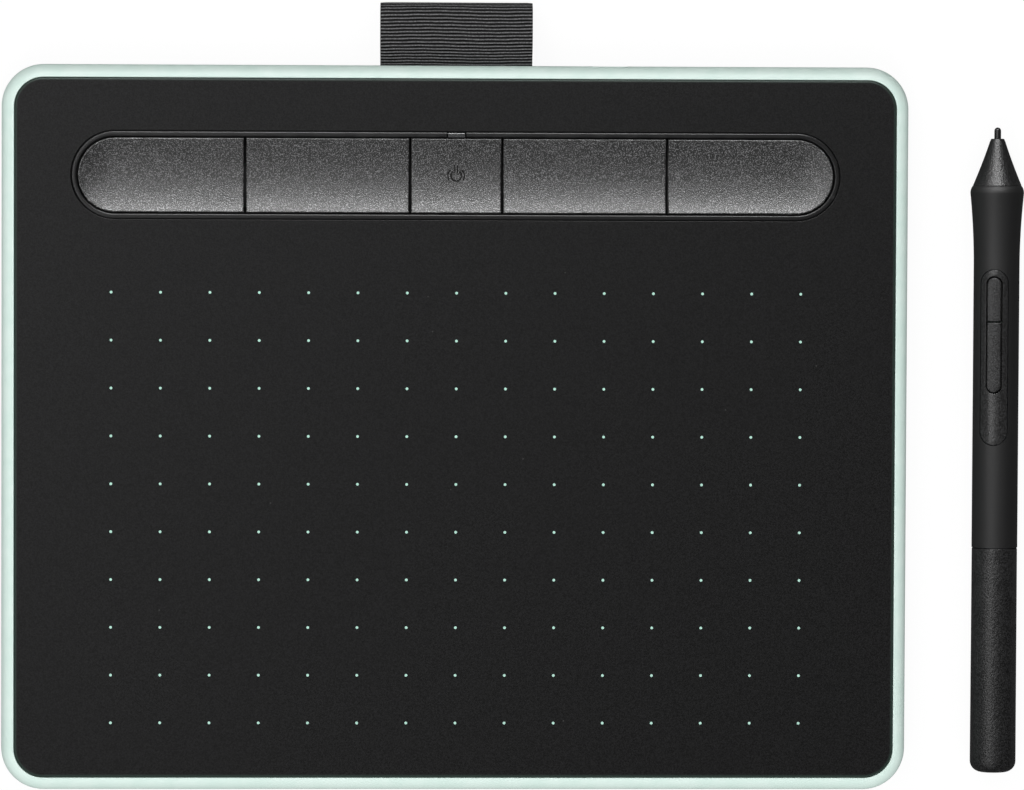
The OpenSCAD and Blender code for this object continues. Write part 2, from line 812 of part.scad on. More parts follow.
// Round lead through a list of points, with a ball at each bend
module lead(points, r) {
    for (i = [0:len(points) - 2]) {
        step = points[i + 1] - points[i];
        translate(points[i])
            rotate([0, acos(step[2] / norm(step)), atan2(step[1], step[0])])
                cylinder(r = r, h = norm(step));
    }
    for (i = [1:len(points) - 2]) translate(points[i]) sphere(r);
}

module battery_lead() {
    plug_z = main_top + small_head_t + lead_r + fit;
    color("#a3272a") lead([
        [battery_x, sensor_y + battery_d / 2, lead_z],
        [battery_x, lead_turn_y, lead_z],
        [-lead_x, lead_turn_y, lead_z],
        [-lead_x, plug_y, lead_z],
        [-lead_x, plug_y, plug_z],
        [plug_x - plug_w / 2, plug_y, plug_z]
    ], lead_r);
}

module battery_plug() {
    color("#efece2") block(plug_x - plug_w / 2, plug_x + plug_w / 2, plug_y - plug_d / 2,
                           plug_y + plug_d / 2, main_top, main_top + plug_h);
}

// ---------- pen loop ----------

// Side view of the loop: level between two round stations of radius h, and straight from
// the near one to the root, where it is 2 * w high
module loop_side(h, w, root_y) {
    reach = loop_near_y - root_y;
    far = norm([reach, w]);
    leg = sqrt(far * far - h * h);
    tilt = asin(h / far) - atan(w / reach);
    touch = [root_y + leg * cos(tilt), w + leg * sin(tilt)];
    for (y = [loop_near_y, loop_far_y]) translate([y, 0]) circle(h);
    translate([loop_near_y, -h]) square([loop_level, 2 * h]);
    polygon([[root_y, w], touch, [loop_near_y, 0], [touch[0], -touch[1]], [root_y, -w]]);
}

module along_ribbon() {
    translate([-ribbon_w / 2, 0, loop_z]) rotate([90, 0, 90]) linear_extrude(ribbon_w)
        children();
}

module pen_loop() {
    root_y = tablet_d / 2 + 0.3;
    sewn_y = clamp_y - clamp_d / 2;
    color("#1d1d1f") {
        difference() {
            along_ribbon() loop_side(loop_out, ribbon_t, root_y);
            along_ribbon() loop_side(loop_in, 0, root_y + ribbon_t);
        }
        block(-ribbon_w / 2, ribbon_w / 2, sewn_y, root_y + ribbon_t / 2,
              loop_z - ribbon_t, loop_z + ribbon_t);
    }
}

module loop_clamp() {
    z0 = loop_z + ribbon_t;
    color("#8d9092") difference() {
        block(-clamp_w / 2, clamp_w / 2, clamp_y - clamp_d / 2, clamp_y + clamp_d / 2,
              z0, z0 + clamp_t);
        for (s = [-1, 1])
            post(s * clamp_screw_x, clamp_y, small_screw_r + fit, z0 - past, z0 + clamp_t + past);
    }
}

module loop_clamp_screws() {
    seat_z = loop_z + ribbon_t + clamp_t;
    color("#8d8f91") for (s = [-1, 1])
        screw(s * clamp_screw_x, clamp_y, seat_z, small_screw_r, small_head_r,
              small_head_t, seat_z - screw_bottom, -1);
}

// ---------- pen ----------

// The pen is drawn standing on its tail with its buttons towards -Y, then laid on the desk
module lay_pen() {
    translate([pen_x, -pen_tail_y, pen_tail_z]) rotate([pen_pitch - 90, 0, 0])
        rotate([0, 0, -pen_roll]) children();
}

function flare_at(t) = barrel_r + (flare_r - barrel_r) * (1 - t) * (1 - t);
shoulder_drop = flare_r - shoulder_r;
shoulder_arc = (shoulder_drop * shoulder_drop + shoulder_len * shoulder_len)
               / (2 * shoulder_drop);
function shoulder_at(s) = flare_r - shoulder_arc + sqrt(shoulder_arc * shoulder_arc - s * s);
function cone_at(u) = cone_tip_r + (shoulder_r - cone_tip_r) * u - 4 * cone_hollow * u * (1 - u);

// Prism with round ends on the pen's front, from n0 to n1 away from its axis
module pill(z0, z1, w, n0, n1) {
    translate([0, -n0, (z0 + z1) / 2]) rotate([90, 0, 0]) linear_extrude(n1 - n0)
        rotate([0, 0, 90]) stadium((z1 - z0) / 2, w / 2);
}

module front_block(half_w, n0, n1, z0, z1) {
    block(-half_w, half_w, -n1, -n0, z0, z1);
}

module pen_barrel() {
    steps = 6;
    profile = concat(
        [[0, barrel_z0], [barrel_r, barrel_z0]],
        [for (i = [0:steps]) [flare_at(1 - i / steps), flare_z0 + flare_len * i / steps]],
        [for (i = [1:steps]) [shoulder_at(shoulder_len * i / steps),
                              flare_z1 + shoulder_len * i / steps]],
        [[0, cone_z0]]
    );
    color("#2c2c2e") lay_pen() difference() {
        rotate_extrude() polygon(profile);
        translate([0, 0, barrel_z0 - past]) cylinder(r = bore_r, h = pen_len);
        pill(plate_z0 - fit / 2, plate_z1 + fit / 2, plate_w + fit, 1, flare_r + past);
    }
}

module pen_nose_cone() {
    steps = 8;
    wall_back = 3.2;
    outer = [for (i = [0:steps]) [cone_at(i / steps), cone_z1 - cone_len * i / steps]];
    spigot_z = cone_z0 - nose_spigot_len;
    color("#3b3b3d") lay_pen() rotate_extrude() polygon(concat(
        [[nib_bore_r, cone_z1]],
        outer,
        [[chassis_r, cone_z0], [chassis_r, spigot_z], [nose_spigot_bore_r, spigot_z],
         [nose_spigot_bore_r, cone_z0], [core_r + 0.15, cone_z1 - wall_back],
         [nib_bore_r, cone_z1 - wall_back]]
    ));
}

module pen_switch_plate() {
    color("#343436") lay_pen() difference() {
        intersection() {
            pill(plate_z0, plate_z1, plate_w, deck_height, flare_r + past);
            cylinder(r = barrel_r, h = pen_len);
        }
        pill(slot_z0, slot_z1, slot_w, deck_height - past, flare_r + past);
    }
}

// Side button: one half of the slot's pill, with a flange below the plate and a plunger
module side_button(z0, z1, open_z0, open_z1) {
    flange_n = deck_height - button_flange_t;
    half = slot_w / 2 - button_gap;
    mid = (z0 + z1) / 2;
    intersection() {
        pill(slot_z0 + button_gap, slot_z1 - button_gap, 2 * half, flange_n,
             flare_r + past);
        cylinder(r = barrel_r + button_proud, h = pen_len);
        front_block(half + past, 0, flare_r + past, z0, z1);
    }
    front_block(half + button_flange_w, flange_n, deck_height, open_z0, open_z1);
    translate([0, -flange_n - eps, mid]) rotate([-90, 0, 0])
        cylinder(r = button_plunger_r,
                 h = flange_n + eps - pcb_top - pen_dome_h - button_travel - button_plunger_gap);
}

module pen_button_front() {
    z1 = slot_z1 - button_gap;
    color("#47474a") lay_pen()
        side_button(split_z, z1, split_z, z1 + button_flange_w);
}

module pen_button_rear() {
    z0 = slot_z0 + button_gap;
    z1 = split_z - button_gap;
    color("#47474a") lay_pen() side_button(z0, z1, z0 - button_flange_w, z1);
}

module pen_tail_cap() {
    steps = 8;
    round_x = cap_r - tail_round;
    profile = concat(
        [[0, 0]],
        [for (i = [0:steps]) [round_x + tail_round * sin(90 * i / steps),
                              tail_round * (1 - cos(90 * i / steps))]],
        [[cap_seam_r, cap_len], [bore_r, cap_len], [bore_r, cap_end_t], [0, cap_end_t]]
    );
    color("#39393b") lay_pen() rotate_extrude() polygon(profile);
}

module pen_chassis() {
    pocket_hw = slot_w / 2 - button_gap + button_flange_w + fit;
    pocket_z0 = slot_z0 - button_flange_w - fit;
    pocket_z1 = slot_z1 + button_flange_w + fit;
    slot_hw = pcb_w / 2 + pcb_slot_clear;
    color("#5b5f63") lay_pen() difference() {
        translate([0, 0, chassis_z0]) cylinder(r = chassis_r, h = chassis_z1 - chassis_z0);
        translate([0, 0, spare_end + spare_room]) cylinder(r = chassis_bore_r, h = pen_len);
        front_block(chassis_r + past, deck_height, chassis_r + past, plate_z0 - fit, plate_z1 + fit);
        front_block(pocket_hw, 0, deck_height + past, pocket_z0, pocket_z1);
        front_block(slot_hw, pcb_height - pcb_slot_clear, pcb_top + pcb_slot_clear,
                    pcb_z0 - fit, pcb_z1 + fit);
        for (k = [0:spare_count - 1]) rotate([0, 0, 360 * k / spare_count])
            translate([spare_ring_r, 0, chassis_z0 - past])
                cylinder(r = nib_r + thread_fit, h = nib_len + spare_room);
    }
}

module pen_circuit_board() {
    color(board_green) lay_pen() front_block(pcb_w / 2, pcb_height, pcb_top, pcb_z0, pcb_z1);
}

module pen_dome_switches() {
    front_mid = (split_z + slot_z1 - button_gap) / 2;
    rear_mid = (slot_z0 + split_z) / 2;
    color("#b9bcbf") lay_pen() for (z = [front_mid, rear_mid])
        translate([0, -pcb_top, z]) rotate([90, 0, 0]) dome(pen_dome_r, pen_dome_h);
}

module pen_pressure_sensor() {
    color("#a8967a") lay_pen() translate([0, 0, cell_z0])
        cylinder(r = chassis_bore_r - thread_fit, h = cell_len);
}

module pen_ferrite_core() {
    color("#3d3836") lay_pen() translate([0, 0, core_z0]) difference() {
        cylinder(r = core_r, h = core_z1 - core_z0);
        translate([0, 0, -past]) cylinder(r = nib_bore_r, h = pen_len);
    }
}

module pen_coil() {
    color("#b4622d") lay_pen() translate([0, 0, coil_z0]) difference() {
        cylinder(r = coil_r, h = coil_len);
        translate([0, 0, -past]) cylinder(r = core_r + 0.02, h = pen_len);
    }
}

// Worn-round rod that the writing end is moulded on
module nib() {
    cylinder(r = nib_r, h = nib_len - nib_r);
    translate([0, 0, nib_len - nib_r]) sphere(nib_r);
}

module pen_nib() {
    color("#232325") lay_pen() translate([0, 0, pen_len - nib_len]) nib();
}

module nib_holder() {
    color("#c8c9c4") lay_pen() translate([0, 0, holder_z0]) difference() {
        cylinder(r = holder_r, h = holder_len);
        translate([0, 0, holder_len - holder_grip]) cylinder(r = nib_r + 0.02, h = holder_len);
    }
}

module spare_nibs() {
    color("#232325") lay_pen() for (k = [0:spare_count - 1])
        rotate([0, 0, 360 * k / spare_count])
            translate([spare_ring_r, 0, chassis_z0]) nib();
}

bottom_housing();
top_frame();
drawing_sheet();
case_screws();
rating_label();
foot_front_left();
foot_front_right();
foot_rear_left();
foot_rear_right();
key_bezel();
light_guide();
key_outer_left();
key_inner_left();
power_key();
key_inner_right();
key_outer_right();
main_board();
board_screws();
dome_switches();
board_chips();
status_led();
usb_socket();
usb_tongue();
sensor_board();
shield_plate();
sensor_flex();
flex_connector();
battery_cell();
battery_tape();
battery_lead();
battery_plug();
pen_loop();
loop_clamp();
loop_clamp_screws();
pen_barrel();
pen_nose_cone();
pen_switch_plate();
pen_button_front();
pen_button_rear();
pen_tail_cap();
pen_chassis();
pen_circuit_board();
pen_dome_switches();
pen_pressure_sensor();
pen_ferrite_core();
pen_coil();
pen_nib();
nib_holder();
spare_nibs();
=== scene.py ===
import math
import bmesh
import bpy
from mathutils import Matrix, Vector


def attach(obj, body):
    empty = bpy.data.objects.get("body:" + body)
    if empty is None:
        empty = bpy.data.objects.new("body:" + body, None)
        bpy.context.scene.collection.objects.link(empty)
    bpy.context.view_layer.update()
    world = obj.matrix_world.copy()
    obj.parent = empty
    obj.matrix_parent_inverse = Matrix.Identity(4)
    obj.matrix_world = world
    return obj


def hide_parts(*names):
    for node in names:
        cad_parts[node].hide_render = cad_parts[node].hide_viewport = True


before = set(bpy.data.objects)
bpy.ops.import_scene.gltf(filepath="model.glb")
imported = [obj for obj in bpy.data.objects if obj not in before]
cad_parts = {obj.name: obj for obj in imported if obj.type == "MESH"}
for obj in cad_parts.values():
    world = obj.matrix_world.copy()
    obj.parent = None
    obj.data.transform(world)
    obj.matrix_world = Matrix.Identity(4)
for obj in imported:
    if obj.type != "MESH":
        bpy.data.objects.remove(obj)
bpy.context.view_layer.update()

# --- Camera ---
# The camera hangs a metre and a half over the tablet, a little left of its
# middle and towards the key bar, with a long lens that keeps the edges square.
mm = 0.001
bpy.ops.object.camera_add(
    location=(-44.56 * mm, 73.22 * mm, 1483.51 * mm),
    rotation=[math.radians(a) for a in (-2.558, -2.203, 0.243)],
)
camera = bpy.context.active_object
camera.name = "overhead_camera"
camera.data.lens = 235.547
camera.data.sensor_width = 36
camera.data.clip_end = 50
bpy.context.scene.camera = camera
bpy.context.scene.view_settings.view_transform = "Standard"

# --- Floor and lamps ---
# A white table top under a softbox at the rear left and a wide soft light in front.
# Three strips, behind, in front and high on the left, only give the black its gloss.


def rgb(red, green, blue):
    """A colour given by its display values, 0 to 255, as the linear colour that sockets take."""
    linear = [
        (c / 255 + 0.055) ** 2.4 / 1.055**2.4 if c > 10.3 else c / 255 / 12.92
        for c in (red, green, blue)
    ]
    return (*linear, 1)


def put(tree, kind, **settings):
    """A shader node with its settings.

    A lower-case setting is a property. A capitalised one is an input: its value, or
    the output that is wired into it.
    """
    node = tree.nodes.new("ShaderNode" + kind)
    for name, value in settings.items():
        if name[0].islower():
            setattr(node, name, value)
            continue
        socket = node.inputs[name.replace("_", " ")]
        if isinstance(value, bpy.types.NodeSocket):
            tree.links.new(value, socket)
        else:
            socket.default_value = value
    return node


def maths(tree, operation, *values):
    """The output of a Math node."""
    node = put(tree, "Math", operation=operation)
    for socket, value in zip(node.inputs, values):
        if isinstance(value, bpy.types.NodeSocket):
            tree.links.new(value, socket)
        else:
            socket.default_value = value
    return node.outputs[0]


def ramp(tree, value, start, full, low=0, high=1):
    """Carry a value from the span start to full over to low to high, and hold it beyond both ends."""
    node = put(tree, "MapRange", Value=value, From_Min=start, From_Max=full, To_Min=low, To_Max=high)
    return node.outputs[0]


def finish_of(name, **sockets):
    """A new material and its Principled BSDF, with the given inputs set."""
    material = bpy.data.materials.new(name)
    material.use_nodes = True
    tree = material.node_tree
    tree.nodes.remove(tree.nodes["Principled BSDF"])
    bsdf = put(tree, "BsdfPrincipled", **sockets)
    tree.links.new(bsdf.outputs[0], tree.nodes["Material Output"].inputs["Surface"])
    return material, tree, bsdf


def rays(tree):
    """1 for a ray from the camera, and 1 for a ray that comes by a reflection or through glass."""
    path = put(tree, "LightPath")
    mirrored = maths(tree, "MAXIMUM", path.outputs["Is Glossy Ray"], path.outputs["Is Transmission Ray"])
    return path.outputs["Is Camera Ray"], mirrored


bpy.ops.object.select_all(action="DESELECT")
bpy.ops.mesh.primitive_plane_add(size=6)
floor = bpy.context.active_object
floor.name = "white_table"
table_finish, tree, bsdf = finish_of(
    "white_table_top", Base_Color=rgb(80, 80, 80), Roughness=0.9, Specular_IOR_Level=0.1
)
# it glows white for the camera, hardly in a reflection, and throws no light on things
camera_ray, mirrored = rays(tree)
shown = maths(tree, "MAXIMUM", camera_ray, maths(tree, "MULTIPLY", mirrored, 0.02))
tree.links.new(maths(tree, "MULTIPLY", shown, 0.925), bsdf.inputs["Emission Strength"])
bsdf.inputs["Emission Color"].default_value = (1, 1, 1, 1)
floor.data.materials.append(table_finish)

world = bpy.data.worlds.new("pale_walls")
bpy.context.scene.world = world
world.use_nodes = True
tree = world.node_tree
tree.nodes.clear()
# white to the camera and nearly dark where it is mirrored, so that the lamps alone
# give the gloss; what lights things comes mostly from above
height = put(tree, "SeparateXYZ", Vector=put(tree, "TexCoord").outputs["Generated"]).outputs["Z"]
walls = put(tree, "MapRange", interpolation_type="SMOOTHSTEP", Value=height,
            From_Min=0.1, From_Max=0.95, To_Min=0.04, To_Max=0.05).outputs[0]
above = ramp(tree, height, 0, 1, 0.3, 0.93)
camera_ray, mirrored = rays(tree)
lit = put(tree, "Mix", data_type="FLOAT")
for index, source in ((0, mirrored), (2, above), (3, walls)):
    tree.links.new(source, lit.inputs[index])
level = maths(tree, "MAXIMUM", camera_ray, lit.outputs[0])
sky = put(tree, "Background", Color=(1, 1, 1, 1), Strength=level)
tree.links.new(sky.outputs[0], put(tree, "OutputWorld").inputs["Surface"])

for name, place, width, depth, power, spreads, shines in (
    ("rear_softbox", (-0.55, 0.9, 0.85), 0.75, 0.5, 3.9, True, True),
    ("front_fill", (-0.1, -1.2, 1.2), 1.4, 1.0, 10.8, True, False),
    ("rear_strip", (0.05, 0.72, 0.62), 0.5, 0.35, 9, False, True),
    ("front_strip", (-0.3, -0.75, 0.7), 0.5, 0.35, 1.0, False, True),
    ("left_strip", (-0.45, 0.1, 1.1), 0.6, 0.4, 3.2, False, True),
):
    aim = (-Vector(place)).to_track_quat("-Z", "Y").to_euler()
    bpy.ops.object.light_add(type="AREA", location=place, rotation=aim)
    lamp = bpy.context.active_object
    lamp.name = name
    lamp.data.shape = "RECTANGLE"
    lamp.data.size, lamp.data.size_y = width, depth
    lamp.data.energy = power
    lamp.visible_camera = False
    lamp.visible_diffuse = spreads
    lamp.visible_glossy = shines

# --- Bottom housing ---
# One moulded shell of pale mint plastic that carries everything. Its side is a
# rounded rim, which turns over a small lip into the pocket for the black top.


def settle():
    """Take the active piece's place, turn and size into its mesh."""
    bpy.ops.object.transform_apply(location=True, rotation=True, scale=True)


def begin(name, add, **how):
    """A new primitive, alone in the selection, with its place in its mesh, open in edit mode."""
    if bpy.context.mode != "OBJECT":
        bpy.ops.object.mode_set(mode="OBJECT")
    bpy.ops.object.select_all(action="DESELECT")
    add(**how)
    settle()
    piece = bpy.context.active_object
    piece.name = piece.data.name = name
    bpy.ops.object.mode_set(mode="EDIT")
    return piece


def pick(kind, test):
    """Select the verts, edges or faces whose middle and direction pass the test."""
    bpy.ops.mesh.select_mode(type=kind)
    bpy.ops.mesh.select_all(action="DESELECT")
    mesh = bpy.context.edit_object.data
    shape = bmesh.from_edit_mesh(mesh)
    for item in {"VERT": shape.verts, "EDGE": shape.edges, "FACE": shape.faces}[kind]:
        if kind == "VERT":
            middle, way = item.co, item.normal
        elif kind == "EDGE":
            a, b = (v.co for v in item.verts)
            middle, way = (a + b) / 2, (b - a).normalized()
        else:
            middle, way = item.calc_center_median(), item.normal
        if test(middle, way):
            item.select_set(True)
    shape.select_flush_mode()
    bmesh.update_edit_mesh(mesh)


def merge():
    """Merge the points that lie on each other."""
    bpy.ops.mesh.select_all(action="SELECT")
    bpy.ops.mesh.remove_doubles(threshold=1e-7)


def slab(name, width, depth, low, high, corner, x=0, y=0, *, segments):
    """A plate with round corners, in millimetres, open in edit mode."""
    piece = begin(name, bpy.ops.mesh.primitive_cube_add, size=1,
                  location=(x * mm, y * mm, (low + high) / 2 * mm),
                  scale=(width * mm, depth * mm, (high - low) * mm))
    pick("EDGE", lambda middle, way: abs(way.z) > 0.9)
    bpy.ops.mesh.bevel(offset=corner * mm, segments=segments, affect="EDGES", clamp_overlap=False)
    merge()
    return piece


def steps(up, moves):
    """Carry the top or bottom face inward and outward from the solid, one (inward, along) step at a time."""
    pick("FACE", lambda middle, way: way.z * up > 0.99)
    for inward, along in moves:
        bpy.ops.mesh.inset(thickness=inward * mm, depth=along * mm, use_even_offset=True)


def quarter(radius, count, end=90):
    """Steps round an arc that starts up the side, at 0 degrees, and is level at 90."""
    turn = [math.radians(end * i / count) for i in range(count + 1)]
    return [
        (radius * (math.cos(a) - math.cos(b)), radius * (math.sin(b) - math.sin(a)))
        for a, b in zip(turn, turn[1:])
    ]


def only(piece):
    """Leave edit mode with just this piece selected and active."""
    if bpy.context.mode != "OBJECT":
        bpy.ops.object.mode_set(mode="OBJECT")
    bpy.ops.object.select_all(action="DESELECT")
    piece.select_set(True)
    bpy.context.view_layer.objects.active = piece


def carve(piece, tools, operation="DIFFERENCE"):
    """Cut the tools out of a piece, or add them to it."""
    only(tools[0])
    for tool in tools:
        tool.select_set(True)
    if len(tools) > 1:
        bpy.ops.object.join()
    only(piece)
    change = piece.modifiers.new("carve", "BOOLEAN")
    change.operation = operation
    change.object = tools[0]
    change.solver = "EXACT"
    bpy.ops.object.modifier_apply(modifier=change.name)
    bpy.data.objects.remove(tools[0])


def rod(x, y, radius, low, high, sides=32):
    """A round tool, in millimetres."""
    piece = begin("rod", bpy.ops.mesh.primitive_cylinder_add, vertices=sides, radius=radius * mm,
                  depth=(high - low) * mm, location=(x * mm, y * mm, (low + high) / 2 * mm))
    only(piece)
    return piece


def brick(x0, x1, y0, y1, z0, z1):
    """A square tool, in millimetres."""
    piece = begin("brick", bpy.ops.mesh.primitive_cube_add, size=1,
                  location=((x0 + x1) / 2 * mm, (y0 + y1) / 2 * mm, (z0 + z1) / 2 * mm),
                  scale=((x1 - x0) * mm, (y1 - y0) * mm, (z1 - z0) * mm))
    only(piece)
    return piece


def complete(piece, material, body, nodes=(), angle=32, weighted=True):
    """Smooth a piece, give it its finish, and fix it to the body that it belongs to."""
    only(piece)
    bpy.ops.object.shade_smooth_by_angle(angle=math.radians(angle))
    if weighted:
        even = piece.modifiers.new("even", "WEIGHTED_NORMAL")
        even.keep_sharp = True
        even.weight = 90
        bpy.ops.object.modifier_apply(modifier=even.name)
    piece.data.materials.clear()
    piece.data.materials.append(material)
    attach(piece, body)
    if nodes:
        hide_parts(*nodes)


def effect(name, inputs, outputs):
    """A node group that is built once and placed in many materials: its tree, its inputs and its outputs."""
    tree = bpy.data.node_groups.new(name, "ShaderNodeTree")
    for side, sockets in (("INPUT", inputs), ("OUTPUT", outputs)):
        for label, kind, default in sockets:
            socket = tree.interface.new_socket(name=label, in_out=side, socket_type="NodeSocket" + kind)
            if default is not None:
                socket.default_value = default
    return tree, tree.nodes.new("NodeGroupInput").outputs, tree.nodes.new("NodeGroupOutput").inputs


def mingle(tree, mask, a, b):
    """Colour a where the mask is 0, and b where it is 1."""
    node = put(tree, "Mix", data_type="RGBA")
    for index, value in ((0, mask), (6, a), (7, b)):
        if isinstance(value, bpy.types.NodeSocket):
            tree.links.new(value, node.inputs[index])
        else:
            node.inputs[index].default_value = value
    return node.outputs[2]


def surface(tree, bsdf, colour, height, depth):
    """Wire in a colour, and a height as bump with its full depth in millimetres."""
    tree.links.new(colour, bsdf.inputs["Base Color"])
    bump = put(tree, "Bump", Height=height, Distance=depth * mm)
    tree.links.new(bump.outputs[0], bsdf.inputs["Normal"])


# Moulded grain: small pits and bumps of one size, and a slow drift of tone
grain, give, take = effect(
    "moulded_grain",
    [("Vector", "Vector", None), ("Size", "Float", 0.3), ("Softness", "Float", 0.5)],
    [("Height", "Float", None), ("Tone", "Float", None)],
)
per_metre = maths(grain, "DIVIDE", 1 / mm, give["Size"])
fine = put(grain, "TexNoise", Vector=give["Vector"], Scale=per_metre, Detail=2, Roughness=give["Softness"])
slow = maths(grain, "MULTIPLY", per_metre, 0.04)
broad = put(grain, "TexNoise", Vector=give["Vector"], Scale=slow, Detail=2)
grain.links.new(fine.outputs[0], take["Height"])
grain.links.new(broad.outputs[0], take["Tone"])

# Rubbed edges: convex edges, worn in patches
wear, give, take = effect(
    "rubbed_edges",
    [("Vector", "Vector", None), ("Amount", "Float", 0.5)],
    [("Mask", "Float", None)],
)
cloud = put(wear, "TexNoise", Vector=give["Vector"], Scale=260, Detail=3)
sharp = ramp(wear, put(wear, "NewGeometry").outputs["Pointiness"], 0.52, 0.62)
worn = maths(wear, "MULTIPLY", sharp, ramp(wear, cloud.outputs[0], 0.4, 0.65))
wear.links.new(maths(wear, "MULTIPLY", worn, give["Amount"]), take["Mask"])

# Dust: a few tiny pale specks
dust, give, take = effect(
    "dust",
    [("Vector", "Vector", None), ("Spacing", "Float", 3), ("Amount", "Float", 0.5)],
    [("Mask", "Float", None)],
)
cells = put(dust, "TexVoronoi", Vector=give["Vector"], Scale=maths(dust, "DIVIDE", 1 / mm, give["Spacing"]))
chance = put(dust, "SeparateColor", Color=cells.outputs["Color"]).outputs[0]
speck = maths(dust, "LESS_THAN", cells.outputs["Distance"], 0.035)
kept = maths(dust, "MULTIPLY", speck, maths(dust, "GREATER_THAN", chance, 0.72))
dust.links.new(maths(dust, "MULTIPLY", kept, give["Amount"]), take["Mask"])


def laid(tree, group, **settings):
    """The outputs of a group placed in a material on the object's own coordinates."""
    here = put(tree, "TexCoord").outputs["Object"]
    return put(tree, "Group", node_tree=group, Vector=here, **settings).outputs


def moulded(name, size, softness=0.5, **sockets):
    """A new material, its tree and its BSDF, and the outputs of the moulded grain in it."""
    material, tree, bsdf = finish_of(name, **sockets)
    return material, tree, bsdf, laid(tree, grain, Size=size, Softness=softness)


mint, tree, bsdf, skin = moulded("mint_shell", 0.18, Roughness=0.45, Specular_IOR_Level=0.2)
pale = mingle(tree, ramp(tree, skin["Tone"], 0.35, 0.65), rgb(213, 234, 226), rgb(220, 238, 231))
rubbed = laid(tree, wear, Amount=0.25)[0]
surface(tree, bsdf, mingle(tree, rubbed, pale, rgb(236, 244, 240)), skin["Height"], 0.004)

case_screws_at = [(sx * 90, y) for sx in (-1, 1) for y in (-70, 0, 70)]
board_screws_at = [(sx * 71, y) for sx in (-1, 1) for y in (49.75, 71.5)]
clamp_screws_at = [(sx * 18.875, 73) for sx in (-1, 1)]
feet_at = [(sx * 76, sy * 64) for sx in (-1, 1) for sy in (-1, 1)]
case_w, case_d, case_corner, rim_r = 200, 160, 9.3, 3.2
case_low, floor_top, screw_seat = 0.8, 2.1, 1.6
foot_w, foot_d, label_w, label_d, play = 22, 7, 44, 18, 0.2

housing = slab("mint_housing", case_w, case_d, case_low + rim_r, 5.4, case_corner, segments=20)
lip = [(0.1, 0.012), (0.07, -0.015), (0.05, -0.05), (0.03, -0.09)]
hollow = [(0, -1.79), (1.2, 0), (0, -4.4)]
steps(1, quarter(rim_r, 9, end=78.3) + lip + hollow)
steps(-1, quarter(rim_r, 9))
merge()
only(housing)
ribs = [brick(x - 0.6, x + 0.6, -68.55, 33.45, floor_top, 5.3)
        for x in (-78.6, -71.1, -18.9, 29.85, 78.6)]
bosses = [rod(x, y, 2.4, floor_top, 2.9) for x, y in board_screws_at]
carve(housing, ribs + bosses + [brick(-22, 22, 70, 76.1, floor_top, 4.0)], "UNION")
under = case_low - 0.1
pockets = []
for x, y in feet_at:
    pockets.append(slab("pocket", foot_w + play, foot_d + play, under, 1.2, (foot_d + play) / 2, x, y, segments=12))
    only(pockets[-1])
pockets.append(slab("pocket", label_w + play, label_d + play, under, 1.0, 1.1, segments=6))
only(pockets[-1])
head_holes = [rod(x, y, 1.9, under, screw_seat) for x, y in case_screws_at]
socket_hole = brick(30.05, 37.95, 75.9, 81, 3.7, 6.55)
loop_slot = brick(-16.85, 16.85, 75.9, 81, 4.0, 5.5)
carve(housing, pockets + head_holes + [socket_hole, loop_slot])
carve(housing, [rod(x, y, 1.1, 1.5, 2.3) for x, y in case_screws_at]
      + [rod(x, y, 0.85, 1.2, 3.0, 20) for x, y in board_screws_at]
      + [rod(x, y, 0.85, 1.2, 4.1, 20) for x, y in clamp_screws_at])
complete(housing, mint, "tablet", ["bottom_housing"])

# --- Rubber feet ---
# Four die-cut rubber strips with round ends, glued into pockets under the shell.
# Their lower edges are softened, so that they don't catch on the desk.
rubber, tree, bsdf, skin = moulded("foot_rubber", 0.35, 0.7, Roughness=0.82, Specular_IOR_Level=0.3)
body_tone = mingle(tree, skin["Tone"], rgb(44, 45, 46), rgb(62, 63, 64))
specks = laid(tree, dust, Spacing=1.6, Amount=0.6)[0]
surface(tree, bsdf, mingle(tree, specks, body_tone, rgb(150, 148, 142)), skin["Height"], 0.03)

for (x, y), place in zip(feet_at, ("front_left", "rear_left", "front_right", "rear_right")):
    foot = slab("rubber_foot_" + place, foot_w, foot_d, 0.35, 1.2, foot_d / 2, x, y, segments=12)
    steps(-1, quarter(0.35, 4))
    merge()
    complete(foot, rubber, "tablet", ["foot_" + place])

# --- Case screws ---
# Six small pan head screws that go up through the shell into the top frame.
# They are rolled steel, blackened a little, with a pressed cross recess.
steel, tree, bsdf, skin = moulded("screw_steel", 0.25, 0.6, Metallic=1, Roughness=0.34)
plated = mingle(tree, skin["Tone"], rgb(120, 122, 125), rgb(168, 170, 172))
rubbed = laid(tree, wear, Amount=0.8)[0]
surface(tree, bsdf, mingle(tree, rubbed, plated, rgb(214, 214, 212)), skin["Height"], 0.006)


